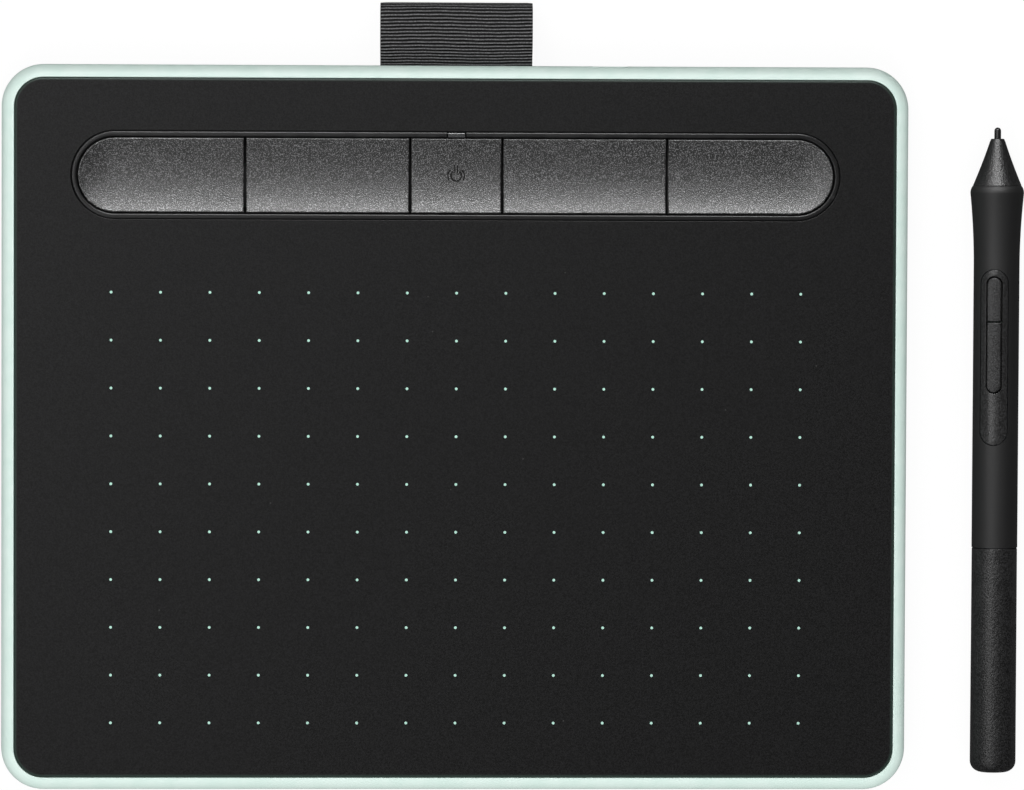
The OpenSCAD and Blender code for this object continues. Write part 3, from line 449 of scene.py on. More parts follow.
def pan_head_screw(name, x, y, seat, radius, head, thick, reach):
    """A pan head screw that points up, with its head under the seat.

    radius is the thread's and head the head's; thick is the head's height, and reach
    the thread's length.
    """
    screw = begin(name, bpy.ops.mesh.primitive_cylinder_add, vertices=40, radius=head * mm,
                  depth=thick * 0.6 * mm, location=(0, 0, -thick * 0.3 * mm))
    steps(-1, quarter(thick * 0.4, 4))
    pick("FACE", lambda middle, way: way.z > 0.99)
    bpy.ops.mesh.inset(thickness=(head - radius) * mm)
    pitch, groove_depth = 0.3, 0.08
    climb = pitch / 3 * mm
    for _ in range(int(reach / pitch)):
        bpy.ops.mesh.inset(thickness=groove_depth * mm, depth=climb)
        bpy.ops.mesh.inset(thickness=groove_depth * mm, depth=climb, use_outset=True)
        bpy.ops.mesh.extrude_region_move(TRANSFORM_OT_translate={"value": (0, 0, climb)})
    arm, wide = head * 0.55, head * 0.14
    for x_half, y_half in ((arm, wide), (wide, arm)):
        carve(screw, [brick(-x_half, x_half, -y_half, y_half, -thick - 1, -thick * 0.45)])
    only(screw)
    screw.rotation_euler.z = 0.7 * x + y
    screw.location = (x * mm, y * mm, seat * mm)
    settle()
    return screw


for count, (x, y) in enumerate(case_screws_at, 1):
    screw = pan_head_screw(f"case_screw_{count}", x, y, screw_seat,
                           radius=1.0, head=1.8, thick=0.7, reach=5.2)
    complete(screw, steel, "tablet", ["case_screws"], weighted=False)

# --- Label ---
# A blank label of thin polyester film in a shallow recess between the feet.
# Its edge is rounded by the die that cut it.
film, tree, bsdf, skin = moulded("label_film", 0.12, Roughness=0.42, Specular_IOR_Level=0.45)
pale = mingle(tree, skin["Tone"], rgb(196, 201, 199), rgb(208, 211, 209))
surface(tree, bsdf, pale, skin["Height"], 0.004)

label = slab("blank_label", label_w, label_d, 0.84, 1.0, 1.0, segments=6)
steps(-1, quarter(0.04, 2))
merge()
complete(label, film, "tablet", ["rating_label"])

# --- Boards and battery ---
# The main board stands on the rear bosses with its screws, domes, chips, light and
# socket; the sensor board lies over its shield on the ribs, with the battery below.


def dress(material, *names):
    """Give CAD nodes a material; their shape stays as it is."""
    for name in names:
        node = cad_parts[name]
        if not node.material_slots:
            node.data.materials.append(material)
        for place in node.material_slots:
            place.material = material


# Tracks: straight lines of copper under a lacquer, in blocks that change direction
tracks, give, take = effect(
    "tracks",
    [("Vector", "Vector", None), ("Pitch", "Float", 1.2), ("Width", "Float", 0.3)],
    [("Mask", "Float", None)],
)
per_metre = maths(tracks, "DIVIDE", 1 / mm, give["Pitch"])
blocks = put(tracks, "TexVoronoi", distance="CHEBYCHEV", Vector=give["Vector"],
             Scale=maths(tracks, "MULTIPLY", per_metre, 0.12))
chance = put(tracks, "SeparateColor", Color=blocks.outputs["Color"]).outputs[0]
turned_over = maths(tracks, "GREATER_THAN", chance, 0.5)
spot = put(tracks, "SeparateXYZ", Vector=give["Vector"])
lane = put(tracks, "Mix", data_type="FLOAT")
for index, source in ((0, turned_over), (2, spot.outputs["X"]), (3, spot.outputs["Y"])):
    tracks.links.new(source, lane.inputs[index])
phase = maths(tracks, "FRACT", maths(tracks, "MULTIPLY", lane.outputs[0], per_metre))
tracks.links.new(maths(tracks, "LESS_THAN", phase, give["Width"]), take["Mask"])


def plain(name, low, high, size, depth, nodes, lines=None, **sockets):
    """A finish in two near tones with a moulded grain, and thin lines where asked, for CAD nodes."""
    material, tree, bsdf, skin = moulded(name, size, **sockets)
    colour = mingle(tree, skin["Tone"], rgb(*low), rgb(*high))
    if lines:
        pitch, width, line_colour = lines
        colour = mingle(tree, laid(tree, tracks, Pitch=pitch, Width=width)[0], colour, rgb(*line_colour))
    surface(tree, bsdf, colour, skin["Height"], depth)
    dress(material, *nodes)


plain("circuit_board", (22, 74, 48), (30, 88, 58), 0.3, 0.004,
      ["main_board", "sensor_board", "pen_circuit_board"], lines=(1.3, 0.35, (48, 112, 76)),
      Roughness=0.3, Specular_IOR_Level=0.5)
plain("small_screw_steel", (128, 130, 132), (170, 172, 174), 0.2, 0.006,
      ["board_screws", "loop_clamp_screws"], Metallic=1, Roughness=0.32)
plain("dome_steel", (168, 171, 174), (196, 198, 200), 0.4, 0.004,
      ["dome_switches", "pen_dome_switches"], Metallic=1, Roughness=0.24)
plain("chip_epoxy", (24, 25, 26), (34, 35, 36), 0.12, 0.01, ["board_chips"], Roughness=0.6)
plain("led_white", (232, 231, 222), (246, 245, 238), 0.3, 0.004, ["status_led"], Roughness=0.35)
plain("socket_steel", (176, 178, 181), (204, 206, 208), 0.5, 0.008, ["usb_socket"],
      Metallic=1, Roughness=0.28)
plain("tongue_black", (20, 21, 22), (30, 31, 32), 0.15, 0.006, ["usb_tongue"],
      lines=(0.65, 0.4, (196, 168, 104)), Roughness=0.45)
plain("shield_aluminium", (160, 163, 166), (184, 187, 190), 0.6, 0.01, ["shield_plate"],
      Metallic=1, Roughness=0.4)
plain("flex_film", (150, 92, 34), (176, 112, 46), 0.3, 0.004, ["sensor_flex"],
      lines=(0.5, 0.5, (206, 142, 70)), Roughness=0.35)
plain("connector_white", (220, 216, 204), (236, 232, 220), 0.25, 0.006,
      ["flex_connector", "battery_plug"], Roughness=0.5)
plain("battery_pouch", (146, 152, 158), (172, 177, 182), 3.0, 0.08, ["battery_cell"],
      Metallic=0.7, Roughness=0.42)
plain("tape", (206, 202, 168), (222, 218, 188), 0.8, 0.02, ["battery_tape"], Roughness=0.6)
plain("lead_jacket", (150, 34, 36), (172, 44, 46), 0.4, 0.006, ["battery_lead"], Roughness=0.45)
plain("clamp_steel", (140, 142, 145), (172, 174, 176), 0.5, 0.01, ["loop_clamp"],
      Metallic=1, Roughness=0.38)

# --- Top frame and drawing sheet ---
# A black frame closes the shell, and a textured sheet of polycarbonate film is
# bonded to it: it feels like paper, and its edge is turned down beside the rim.
frame_plastic, tree, bsdf, skin = moulded("black_frame", 0.2, Roughness=0.5, Specular_IOR_Level=0.35)
body_tone = mingle(tree, skin["Tone"], rgb(26, 26, 27), rgb(34, 34, 35))
surface(tree, bsdf, body_tone, skin["Height"], 0.01)
dress(frame_plastic, "top_frame")

sheet_w, sheet_d, sheet_corner, sheet_top = 194.2, 154.2, 6.4, 8.6
keys_y, opening_w, opening_d = 55.75, 169.46, 19.46

paper, tree, bsdf, skin = moulded("drawing_film", 0.34, 0.7, Roughness=0.47, Specular_IOR_Level=0.25)
pits = ramp(tree, skin["Height"], 0.36, 0.64)
body_tone = mingle(tree, pits, rgb(1, 1, 1), rgb(23, 23, 24))
# the film's edge is painted lighter and mint-green, a painted reflection of the mint rim beside it:
# the band lies beyond a distance from the rectangle that the corners turn about
outwards = put(tree, "VectorMath", operation="ABSOLUTE")
tree.links.new(put(tree, "TexCoord").outputs["Object"], outwards.inputs[0])
turn_x, turn_y = (sheet_w / 2 - sheet_corner) * mm, (sheet_d / 2 - sheet_corner) * mm
for operation, amount in (("MULTIPLY", (1, 1, 0)), ("SUBTRACT", (turn_x, turn_y, 0)), ("MAXIMUM", (0, 0, 0))):
    step = put(tree, "VectorMath", operation=operation)
    tree.links.new(outwards.outputs[0], step.inputs[0])
    step.inputs[1].default_value = amount
    outwards = step
reach = put(tree, "VectorMath", operation="LENGTH")
tree.links.new(outwards.outputs[0], reach.inputs[0])
rim_reflection_band = ramp(tree, reach.outputs["Value"], (sheet_corner - 0.7) * mm, (sheet_corner - 0.15) * mm)
body_tone = mingle(tree, rim_reflection_band, body_tone, rgb(42, 59, 52))
specks = laid(tree, dust, Spacing=5, Amount=0.18)[0]
surface(tree, bsdf, mingle(tree, specks, body_tone, rgb(120, 120, 118)), skin["Height"], 0.025)

sheet_of_film = slab("textured_sheet", sheet_w, sheet_d, 8.1, 8.215, sheet_corner, segments=20)
steps(1, [(1.45 * inward, 1.1 * along) for inward, along in quarter(0.35, 7)])
merge()
opening = slab("opening", opening_w, opening_d, 8, 9, opening_d / 2, 0, keys_y, segments=32)
carve(sheet_of_film, [opening])
bpy.ops.object.mode_set(mode="EDIT")
pick("EDGE", lambda middle, way: middle.z > (sheet_top - 0.01) * mm and abs(way.z) < 0.1
     and abs(middle.y - keys_y * mm) < 9.8 * mm and abs(middle.x) < 85 * mm)
bpy.ops.mesh.bevel(offset=0.18 * mm, segments=3, affect="EDGES", clamp_overlap=False)
complete(sheet_of_film, paper, "tablet", ["drawing_sheet"])

# Screen-printed dots, 15 by 10, that mark the active area
ink, tree, bsdf, skin = moulded("dot_ink", 0.15, Roughness=0.6, Specular_IOR_Level=0.3)
ink_tone = mingle(tree, skin["Height"], rgb(156, 206, 190), rgb(196, 233, 219))
surface(tree, bsdf, ink_tone, skin["Height"], 0.01)

active_w, active_d = 152, 95
active_x, active_y = 0.15, -17.55
dots_across, dots_down = 15, 10
dots = begin("printed_dots", bpy.ops.mesh.primitive_circle_add,
             vertices=12, radius=0.31 * mm, fill_type="NGON",
             location=((active_x - active_w / 2) * mm, (active_y - active_d / 2) * mm, 8.601 * mm))
bpy.ops.mesh.inset(thickness=0.06 * mm, depth=0.008 * mm)
only(dots)
for count, offset in (
    (dots_across, (active_w / (dots_across - 1) * mm, 0, 0)),
    (dots_down, (0, active_d / (dots_down - 1) * mm, 0)),
):
    repeat = dots.modifiers.new("repeat", "ARRAY")
    repeat.count = count
    repeat.use_relative_offset = False
    repeat.use_constant_offset = True
    repeat.constant_offset_displace = offset
    bpy.ops.object.modifier_apply(modifier=repeat.name)
complete(dots, ink, "tablet", weighted=False)

# --- Key bezel and status light ---
# A ring with round ends, clipped under the sheet, stands a little proud of it as
# a bead. A smoky light guide fills a gap in its rear side, over the board's LED.
ring_plastic, tree, bsdf, skin = moulded("bezel_plastic", 0.2, Roughness=0.36, Specular_IOR_Level=0.48)
body_tone = mingle(tree, skin["Tone"], rgb(12, 12, 13), rgb(18, 18, 19))
rubbed = laid(tree, wear, Amount=0.2)[0]
surface(tree, bsdf, mingle(tree, rubbed, body_tone, rgb(90, 90, 90)), skin["Height"], 0.008)

ring_w, ring_d = opening_w + 3.8, opening_d + 3.8
bezel = slab("key_ring", ring_w, ring_d, 5.9, 6.6, ring_d / 2, 0, keys_y, segments=32)
bead = quarter(0.34, 6)
down_again = [(inward, -along) for inward, along in reversed(bead)]
steps(1, [(2.0, 0), (0, 1.82)] + bead + [(0.47, 0)] + down_again)
steps(-1, [(3.15, 0)])
pick("FACE", lambda middle, way: abs(way.z) > 0.99
     and abs(middle.x) < mm and abs(middle.y - keys_y * mm) < mm)
bpy.ops.mesh.bridge_edge_loops()
carve(bezel, [brick(-2.2, 2.2, 64.1, 65.4, 5.8, 9)])
complete(bezel, ring_plastic, "tablet", ["key_bezel"])

smoky, tree, bsdf, skin = moulded(
    "light_pipe", 0.25, Roughness=0.22, Specular_IOR_Level=0.7,
    Subsurface_Weight=0.3, Subsurface_Radius=(1, 1, 1), Subsurface_Scale=0.4 * mm,
)
smoke = mingle(tree, skin["Tone"], rgb(58, 59, 60), rgb(70, 71, 72))
surface(tree, bsdf, smoke, skin["Height"], 0.004)

guide_y = 64.77
guide = begin("status_light_guide", bpy.ops.mesh.primitive_cube_add, size=1,
              location=(0, guide_y * mm, 7.35 * mm), scale=(3.76 * mm, 1.08 * mm, 2.9 * mm))
for rearward, radius in ((1, 0.38), (-1, 0.2)):
    pick("EDGE", lambda middle, way: abs(way.x) > 0.9 and middle.z > 8.7 * mm
         and (middle.y - guide_y * mm) * rearward > 0.5 * mm)
    bpy.ops.mesh.bevel(offset=radius * mm, segments=5, affect="EDGES")
carve(guide, [brick(-0.95, 0.95, 64.23, 65.38, 4.6, 5.95)], "UNION")
complete(guide, smoky, "tablet", ["light_guide"])

# --- Keys ---
# Five keys in one row, cut from the same dished bar, which a pen can lie in.
# Each has a spark-textured top, a stop flange all round and a plunger below.

# Painted gap shade: black and dull below a face, by the depth noted on each point; the black is painted shade in
# gaps, grooves and under edges
gaps, give, take = effect(
    "painted_gap_shade",
    [("Start", "Float", 0.12), ("Full", "Float", 0.28)],
    [("Mask", "Float", None)],
)
below = put(gaps, "Attribute", attribute_name="depth").outputs["Fac"]
gaps.links.new(ramp(gaps, below, give["Start"], give["Full"]), take["Mask"])


def sound(piece, face):
    """Note on each point how far it lies below the piece's face, in millimetres."""
    only(piece)
    depth = piece.data.attributes.new("depth", "FLOAT", "POINT")
    for v, note in zip(piece.data.vertices, depth.data):
        note.value = face(v.co / mm)


key_plastic, tree, bsdf, skin = moulded("key_plastic", 0.24, 0.3, Specular_IOR_Level=0.95)
pits = ramp(tree, skin["Height"], 0.53, 0.62)
deep = put(tree, "Group", node_tree=gaps, Start=0.1, Full=0.24).outputs[0]
body_tone = mingle(tree, pits, rgb(1, 1, 1), rgb(104, 104, 105))
# painted shade: black in the gaps round the keys, on the flange below the top and in the power sign's grooves
body_tone = mingle(tree, deep, body_tone, rgb(1, 1, 1))
rubbed = laid(tree, wear, Amount=0.3)[0]
surface(tree, bsdf, mingle(tree, rubbed, body_tone, rgb(110, 110, 110)), skin["Height"], 0.08)
tree.links.new(maths(tree, "MAXIMUM", ramp(tree, pits, 0, 1, 0.47, 0.33), deep), bsdf.inputs["Roughness"])

bar_end, bar_w, bar_d = 84, 167.8, 17.8
trough_r, trough_z, trough_half_l = 23.163, 30.26, 75
keys = (
    # node, body, left and right seam, plunger's place
    ("key_outer_left", "outer_left_key", -bar_end, -46.5, -64.85),
    ("key_inner_left", "inner_left_key", -46.5, -10.15, -28.325),
    ("power_key", "power_button", -10.15, 10.15, 0),
    ("key_inner_right", "inner_right_key", 10.15, 46.5, 28.325),
    ("key_outer_right", "outer_right_key", 46.5, bar_end, 64.85),
)


def split(at, way, **side):
    """Cut everything along a plane; side says which half goes."""
    bpy.ops.mesh.select_all(action="SELECT")
    bpy.ops.mesh.bisect(plane_co=[c * mm for c in at], plane_no=way, threshold=1e-7, **side)


def dish(x, y):
    """Height above the desk, in millimetres, of the trough, which ends in two quarter bowls."""
    off_axis = math.hypot(max(abs(x) - trough_half_l, 0), y - keys_y)
    return trough_z - math.sqrt(trough_r**2 - off_axis**2)


def groove(radius, angle0, angle1, wide):
    """A tool half a millimetre deep, turned from one angle to another about the power key's middle."""
    start = (0, radius * mm, 7.15 * mm)
    piece = begin("groove", bpy.ops.mesh.primitive_plane_add, size=mm,
                  rotation=(0, math.pi / 2, 0), location=start)
    bpy.ops.transform.resize(value=(1, wide, 0.7), center_override=start)
    turns = [math.radians(a) for a in (angle0, angle1)]
    bpy.ops.transform.rotate(value=turns[0], orient_axis="Z", center_override=(0, 0, 0))
    bpy.ops.mesh.spin(steps=36, angle=turns[1] - turns[0], center=(0, 0, 0), axis=(0, 0, 1))
    bpy.ops.mesh.select_all(action="SELECT")
    bpy.ops.transform.translate(value=(0, keys_y * mm, 0))
    bpy.ops.mesh.normals_make_consistent(inside=False)
    only(piece)
    return piece


for name, body, x0, x1, plunger in keys:
    # the whole bar, cut off a quarter of a millimetre before each seam, and then cut
    # across in rows so that its top can bend
    key = slab("dished_" + name, bar_w, bar_d, 5.3, 5.9, bar_d / 2, 0, keys_y, segments=24)
    steps(1, [(0.7, 0), (0, 2.7)])
    merge()
    if x0 > -bar_end:
        split((x0 + 0.25, 0, 0), (1, 0, 0), use_fill=True, clear_inner=True)
    if x1 < bar_end:
        split((x1 - 0.25, 0, 0), (1, 0, 0), use_fill=True, clear_outer=True)
    for row in range(-8, 9):
        split((0, keys_y + row * 0.93, 0), (0, 1, 0))
    if max(-x0, x1) == bar_end:
        side = math.copysign(1, x0)
        for row in range(8):
            split((side * (trough_half_l + row), 0, 0), (1, 0, 0))
    merge()
    # bend its top into the trough, and soften the edge all round it
    pick("VERT", lambda middle, way: middle.z > (sheet_top - 0.01) * mm)
    shape = bmesh.from_edit_mesh(key.data)
    for v in shape.verts:
        if v.select:
            v.co.z = min(dish(v.co.x / mm, v.co.y / mm), sheet_top) * mm
    rim = [e for e in shape.edges if all(v.select for v in e.verts) and len(e.link_faces) == 2
           and min(abs(f.normal.z) for f in e.link_faces) < 0.3]
    bpy.ops.mesh.select_all(action="DESELECT")
    bpy.ops.mesh.select_mode(type="EDGE")
    for e in rim:
        e.select_set(True)
    bmesh.update_edit_mesh(key.data)
    bpy.ops.mesh.bevel(offset=0.3 * mm, segments=4, affect="EDGES", clamp_overlap=False)
    only(key)
    carve(key, [rod(plunger, keys_y, 1.5, 5.0, 5.4, 24)], "UNION")
    if name == "power_key":
        carve(key, [brick(-1.25, 1.25, 63.94, 66, 5.2, 6)])
        for arc in ((1.15, 35, 325, 0.34), (1.82, 48, 124, 0.28), (1.82, 236, 312, 0.28)):
            carve(key, [groove(*arc)])
        carve(key, [brick(-0.44, -0.18, 56.4, 58.1, 6.7, 8), brick(0.18, 0.44, 56.4, 58.1, 6.7, 8)])
    sound(key, lambda place: dish(place.x, place.y) - place.z)
    complete(key, key_plastic, body, [name], angle=28)

# A black film on the board under the gaps between the keys, a dark sheet laid in as painted shade so that the board
# doesn't show through them
gap_shade_film = slab("key_gap_shade_film", 148, 17.3, 3.905, 3.98, 1, 0, 55.55, segments=6)
only(gap_shade_film)
through = (3.5, 4.5)
carve(gap_shade_film, [rod(plunger, keys_y, 2.7, *through) for *_, plunger in keys]
      + [rod(sx * 71, 49.75, 1.8, *through) for sx in (-1, 1)])
chips = ((-46.59, 12, 9), (-14.16, 7, 7), (14.16, 5, 5))
carve(gap_shade_film, [brick(x - w / 2 - 0.2, x + w / 2 + 0.2, 48.8, 49.25 + d, *through) for x, w, d in chips]
      + [brick(20.1, 36.5, 45.8, 48.75, *through)])
complete(gap_shade_film, frame_plastic, "tablet", weighted=False)

# --- Pen loop ---
# A black grosgrain ribbon, folded back on itself round nothing so that it keeps a
# round end for the pen. Its two tails lie flat in the slot, sewn and clamped.
ribbon_w, cord_pitch, layer_t = 33.5, 0.75, 0.42
loop_z, fold_r, tail_z = 4.7, 2.63, 0.33
tail_y, mouth_y, open_y, fold_y = 71, 80, 86, 91


def ribbon_path():
    """The fold seen from the side, as (y, height over the slot's middle) points in millimetres."""
    tail = [(tail_y + 0.15 * i, tail_z) for i in range(61)]
    swell = [(0.5 - 0.5 * math.cos(math.pi * i / 60)) ** 0.8 for i in range(1, 61)]
    rise = [(mouth_y + 0.1 * i, tail_z + (fold_r - tail_z) * share) for i, share in enumerate(swell, 1)]
    level = [(open_y + 0.1 * i, fold_r) for i in range(1, 51)]
    turns = [math.pi * i / 80 for i in range(1, 80)]
    end = [(fold_y + fold_r * math.sin(a), fold_r * math.cos(a)) for a in turns]
    upper = tail + rise + level
    return upper + end + [(y, -z) for y, z in reversed(upper)]


route = ribbon_path()
along = [0]
for (y0, z0), (y1, z1) in zip(route, route[1:]):
    along.append(along[-1] + math.hypot(y1 - y0, z1 - z0))
ribbon_l = along[-1]
rows_per_cord, columns = 9, 28
rows = int(ribbon_l / cord_pitch * rows_per_cord)


def on_route(s):
    """The route's point at a distance along it."""
    s = min(max(s, 0), ribbon_l)
    for i in range(len(route) - 1):
        if along[i + 1] >= s:
            t = (s - along[i]) / (along[i + 1] - along[i])
            return [a + (b - a) * t for a, b in zip(route[i], route[i + 1])]
    return route[-1]


ribbon = begin("grosgrain_loop", bpy.ops.mesh.primitive_grid_add,
               x_subdivisions=columns, y_subdivisions=rows, size=1)
only(ribbon)
stations = {}
for v in ribbon.data.vertices:
    s = (v.co.y + 0.5) * ribbon_l
    station = round(s, 5)
    if station not in stations:
        stations[station] = on_route(s)
    y, z = stations[station]
    v.co = (v.co.x * ribbon_w * mm, y * mm, (loop_z + z) * mm)
for loop_uv in ribbon.data.uv_layers.active.data:
    loop_uv.uv = (loop_uv.uv[0] * ribbon_w, loop_uv.uv[1] * ribbon_l)
thicken = ribbon.modifiers.new("thicken", "SOLIDIFY")
thicken.thickness = layer_t * mm
thicken.offset = 0
bpy.ops.object.modifier_apply(modifier=thicken.name)

# Cords across the ribbon, a little wavy, that fade out towards its edges; each point also notes how high it lies
# on its cord, for the finish, which paints the crests pale as a painted highlight and the grooves black as painted
# shade
face_points = (columns + 1) * (rows + 1)
normals = [v.normal.copy() for v in ribbon.data.vertices]
cords = ribbon.data.attributes.new("cords", "FLOAT", "POINT")
for index, v in enumerate(ribbon.data.vertices):
    row = (index % face_points) // (columns + 1)
    s = row / rows * ribbon_l
    x = v.co.x / mm
    drift = 0.1 * math.sin(x * 0.23 + 0.5 * math.sin(s * 0.21)) + 0.03 * math.sin(x * 1.1 + s)
    rise = 0.5 - 0.5 * math.cos(math.tau * (s + drift) / cord_pitch)
    cords.data[index].value = rise**3.5
    fade = min((ribbon_w / 2 - abs(x)) / 0.9, 1) ** 2
    v.co += normals[index] * (fade * (0.2 * rise - 0.1) * mm)

cloth, tree, bsdf = finish_of(
    "ribbon", Roughness=0.7, Specular_IOR_Level=0.12,
    Sheen_Weight=0.04, Sheen_Roughness=0.4, Sheen_Tint=(0.8, 0.8, 0.82, 1),
)
weave = put(tree, "SeparateXYZ", Vector=put(tree, "UVMap").outputs[0])
threads = put(tree, "CombineXYZ", X=maths(tree, "MULTIPLY", weave.outputs[0], 2.6),
              Y=maths(tree, "MULTIPLY", weave.outputs[1], 1.6))
yarn = put(tree, "TexNoise", Vector=threads.outputs[0], Scale=1, Detail=2)
uneven = ramp(tree, yarn.outputs[0], 0.3, 0.7, 0.45, 1)
# painted highlight on the cords' crests and painted shade in the grooves between them, broken up by the yarn
painted_crest_highlight = maths(tree, "MULTIPLY", put(tree, "Attribute", attribute_name="cords").outputs["Fac"], uneven)
surface(tree, bsdf, mingle(tree, painted_crest_highlight, rgb(1, 1, 1), rgb(130, 130, 131)), yarn.outputs[0], 0.06)

only(ribbon)
bpy.ops.object.mode_set(mode="EDIT")
bpy.ops.mesh.select_all(action="SELECT")
bpy.ops.mesh.normals_make_consistent(inside=False)
complete(ribbon, cloth, "tablet", ["pen_loop"], angle=60, weighted=False)

# --- Pen barrel ---
# A tube of soft-touch black plastic that flares towards the tip, where a short
# shoulder meets the nose cone. A long pocket with round ends takes the switches.
barrel_r, flare_r, bore_r = 5.07, 5.93, 4.1
barrel_low, flare_at, barrel_high = 49.95, 128.5, 130.1

# The standing pen is turned a little about its axis, and then laid down on its
# cap and its flare: the flare is the thicker, so the pen lies at a small angle.
roll, rise_to_flare = math.radians(-11.6), math.radians(0.3933129)
lay_down = (Matrix.Translation((119.8 * mm, -76.1 * mm, 5.0480 * mm))
            @ Matrix.Rotation(rise_to_flare - math.pi / 2, 4, "X") @ Matrix.Rotation(roll, 4, "Z"))


def turned(name, profile, sides=96):
    """A standing piece turned about the pen's axis, from (radius, station) points in millimetres."""
    piece = begin(name, bpy.ops.mesh.primitive_plane_add, size=mm)
    bpy.ops.mesh.select_mode(type="VERT")
    bpy.ops.mesh.select_all(action="SELECT")
    bpy.ops.mesh.merge(type="CENTER")
    bpy.ops.transform.translate(value=(profile[0][0] * mm, 0, profile[0][1] * mm))
    for (r0, z0), (r1, z1) in zip(profile, profile[1:]):
        bpy.ops.mesh.extrude_region_move(
            TRANSFORM_OT_translate={"value": ((r1 - r0) * mm, 0, (z1 - z0) * mm)})
    bpy.ops.mesh.select_all(action="SELECT")
    bpy.ops.mesh.spin(steps=sides, angle=math.tau, center=(0, 0, 0), axis=(0, 0, 1))
    merge()
    bpy.ops.mesh.normals_make_consistent(inside=False)
    return piece


def pill(name, low, high, width, inner, outer, segments=16):
    """A block with round ends on the front of the standing pen, from inner to outer away from its axis."""
    piece = slab(name, width, high - low, inner, outer, width / 2, segments=segments)
    only(piece)
    piece.rotation_euler.x = math.pi / 2
    piece.location.z = (low + high) / 2 * mm
    settle()
    return piece


def lay(piece):
    """Put a standing piece of the pen where the pen lies."""
    only(piece)
    piece.matrix_world = lay_down
    settle()


soft, tree, bsdf, skin = moulded("pen_soft_black", 0.12, Roughness=0.58, Specular_IOR_Level=0.65)
body_tone = mingle(tree, skin["Tone"], rgb(6, 6, 7), rgb(11, 11, 12))
specks = laid(tree, dust, Spacing=2.5, Amount=0.2)[0]
surface(tree, bsdf, mingle(tree, specks, body_tone, rgb(110, 110, 108)), skin["Height"], 0.003)

flare_l = 16.4
flare = [(barrel_r + (flare_r - barrel_r) * (1 - t) ** 2, flare_at - flare_l * t)
         for t in (i / 14 for i in range(15))]
arc_r, arc_l = 2.68, 1.5
shoulder = [(flare_r - arc_r + math.sqrt(arc_r**2 - climb**2), flare_at + climb)
            for climb in (arc_l * i / 5 for i in range(1, 6))]
tail_end = [(bore_r, barrel_low), (barrel_r - 0.1, barrel_low), (barrel_r, barrel_low + 0.1)]
tip_end = [(5.37, barrel_high), (bore_r, barrel_high), (bore_r, barrel_low)]
barrel = turned("flared_barrel", tail_end + flare[::-1] + shoulder + tip_end, sides=100)
carve(barrel, [pill("pocket", 72.72, 111.78, 6.22, 1, 8)])
lay(barrel)
complete(barrel, soft, "pen", ["pen_barrel"])

# --- Nose cone and tail cap ---
# Both are moulded with a coarse spark texture. The cone screws into the flare and
# guides the nib; the cap is pushed over the tail and pulls off.
rough_black, tree, bsdf, skin = moulded("pen_grain_black", 0.36, 0.3,
                                        Roughness=0.44, Specular_IOR_Level=0.65)
pits = ramp(tree, skin["Height"], 0.42, 0.6)
body_tone = mingle(tree, pits, rgb(1, 1, 1), rgb(32, 32, 33))
rubbed = laid(tree, wear, Amount=0.25)[0]
surface(tree, bsdf, mingle(tree, rubbed, body_tone, rgb(86, 86, 86)), skin["Height"], 0.1)

nib_hole_r, cone_tip, neck_low = 0.85, 140.5, 125.1
mouth = [(nib_hole_r, cone_tip), (1.3, cone_tip), (1.45, cone_tip - 0.07)]
flank = [(1.5 + 3.9 * u - 0.52 * u * (1 - u), cone_tip - 10.4 * u) for u in (i / 16 for i in range(1, 16))]
neck = [(5.34, barrel_high + 0.15), (5.3, barrel_high), (4.03, barrel_high), (4.03, neck_low)]
hollow = [(3.4, neck_low), (3.4, barrel_high), (1.75, 137.3), (nib_hole_r, 137.3), (nib_hole_r, cone_tip)]
cone = turned("nose_cone", mouth + flank + neck + hollow)
lay(cone)
complete(cone, rough_black, "pen", ["pen_nose_cone"])

round_r, cap_top, cap_floor = 2.45, 49.8, 2.4
turns = [math.radians(9 * i) for i in range(11)]
dome = [(2.625 + round_r * math.sin(a), round_r * (1 - math.cos(a))) for a in turns]
skirt = [(5.02, cap_top - 0.12), (4.92, cap_top), (bore_r, cap_top), (bore_r, cap_floor), (0, cap_floor)]
cap = turned("tail_cap", [(0, 0)] + dome + skirt)
lay(cap)
complete(cap, rough_black, "tail_cap", ["pen_tail_cap"])

# --- Switch plate and side buttons ---
# A flush plate fills the pocket in the barrel and frames one long slot. Two push
# buttons stand a little proud in it, with flanges that hold them under the plate.
inner_black, tree, bsdf, skin = moulded("switch_plate_black", 0.4, 0.3, Specular_IOR_Level=0.75)
pits = ramp(tree, skin["Height"], 0.38, 0.62)
deep = put(tree, "Group", node_tree=gaps, Start=0.2, Full=0.5).outputs[0]
body_tone = mingle(tree, pits, rgb(6, 6, 6), rgb(38, 38, 39))
# painted shade: black down in the slot and on the plate's sides below its face
surface(tree, bsdf, mingle(tree, deep, body_tone, rgb(1, 1, 1)), skin["Height"], 0.05)
tree.links.new(ramp(tree, deep, 0, 1, 0.42, 1), bsdf.inputs["Roughness"])

button_r = 5.37
plate_low, plate_high = 72.86, 111.64
buttons_low, buttons_high = 84.58, 109.92


def crown(piece, radius, low, high, round_end, sag, strips):
    """Cut a standing block across and along, and bend its front about the pen's axis.

    sag is 1 for the full curve of the radius, and 0 for a flat front.
    """
    bpy.ops.object.mode_set(mode="EDIT")
    for strip in (0, *strips):
        for x in {strip, -strip}:
            split((x, 0, 0), (1, 0, 0))
    for share in (0.35, 0.7, 1):
        for station in (low + share * round_end, high - share * round_end):
            split((0, 0, station), (0, 0, 1))
    merge()
    shape = bmesh.from_edit_mesh(piece.data)
    front = min(v.co.y for v in shape.verts)
    for v in shape.verts:
        if v.co.y < front + 1e-6:
            v.co.y = -radius * mm + sag * (radius * mm - math.sqrt((radius * mm) ** 2 - v.co.x**2))
    bmesh.update_edit_mesh(piece.data)


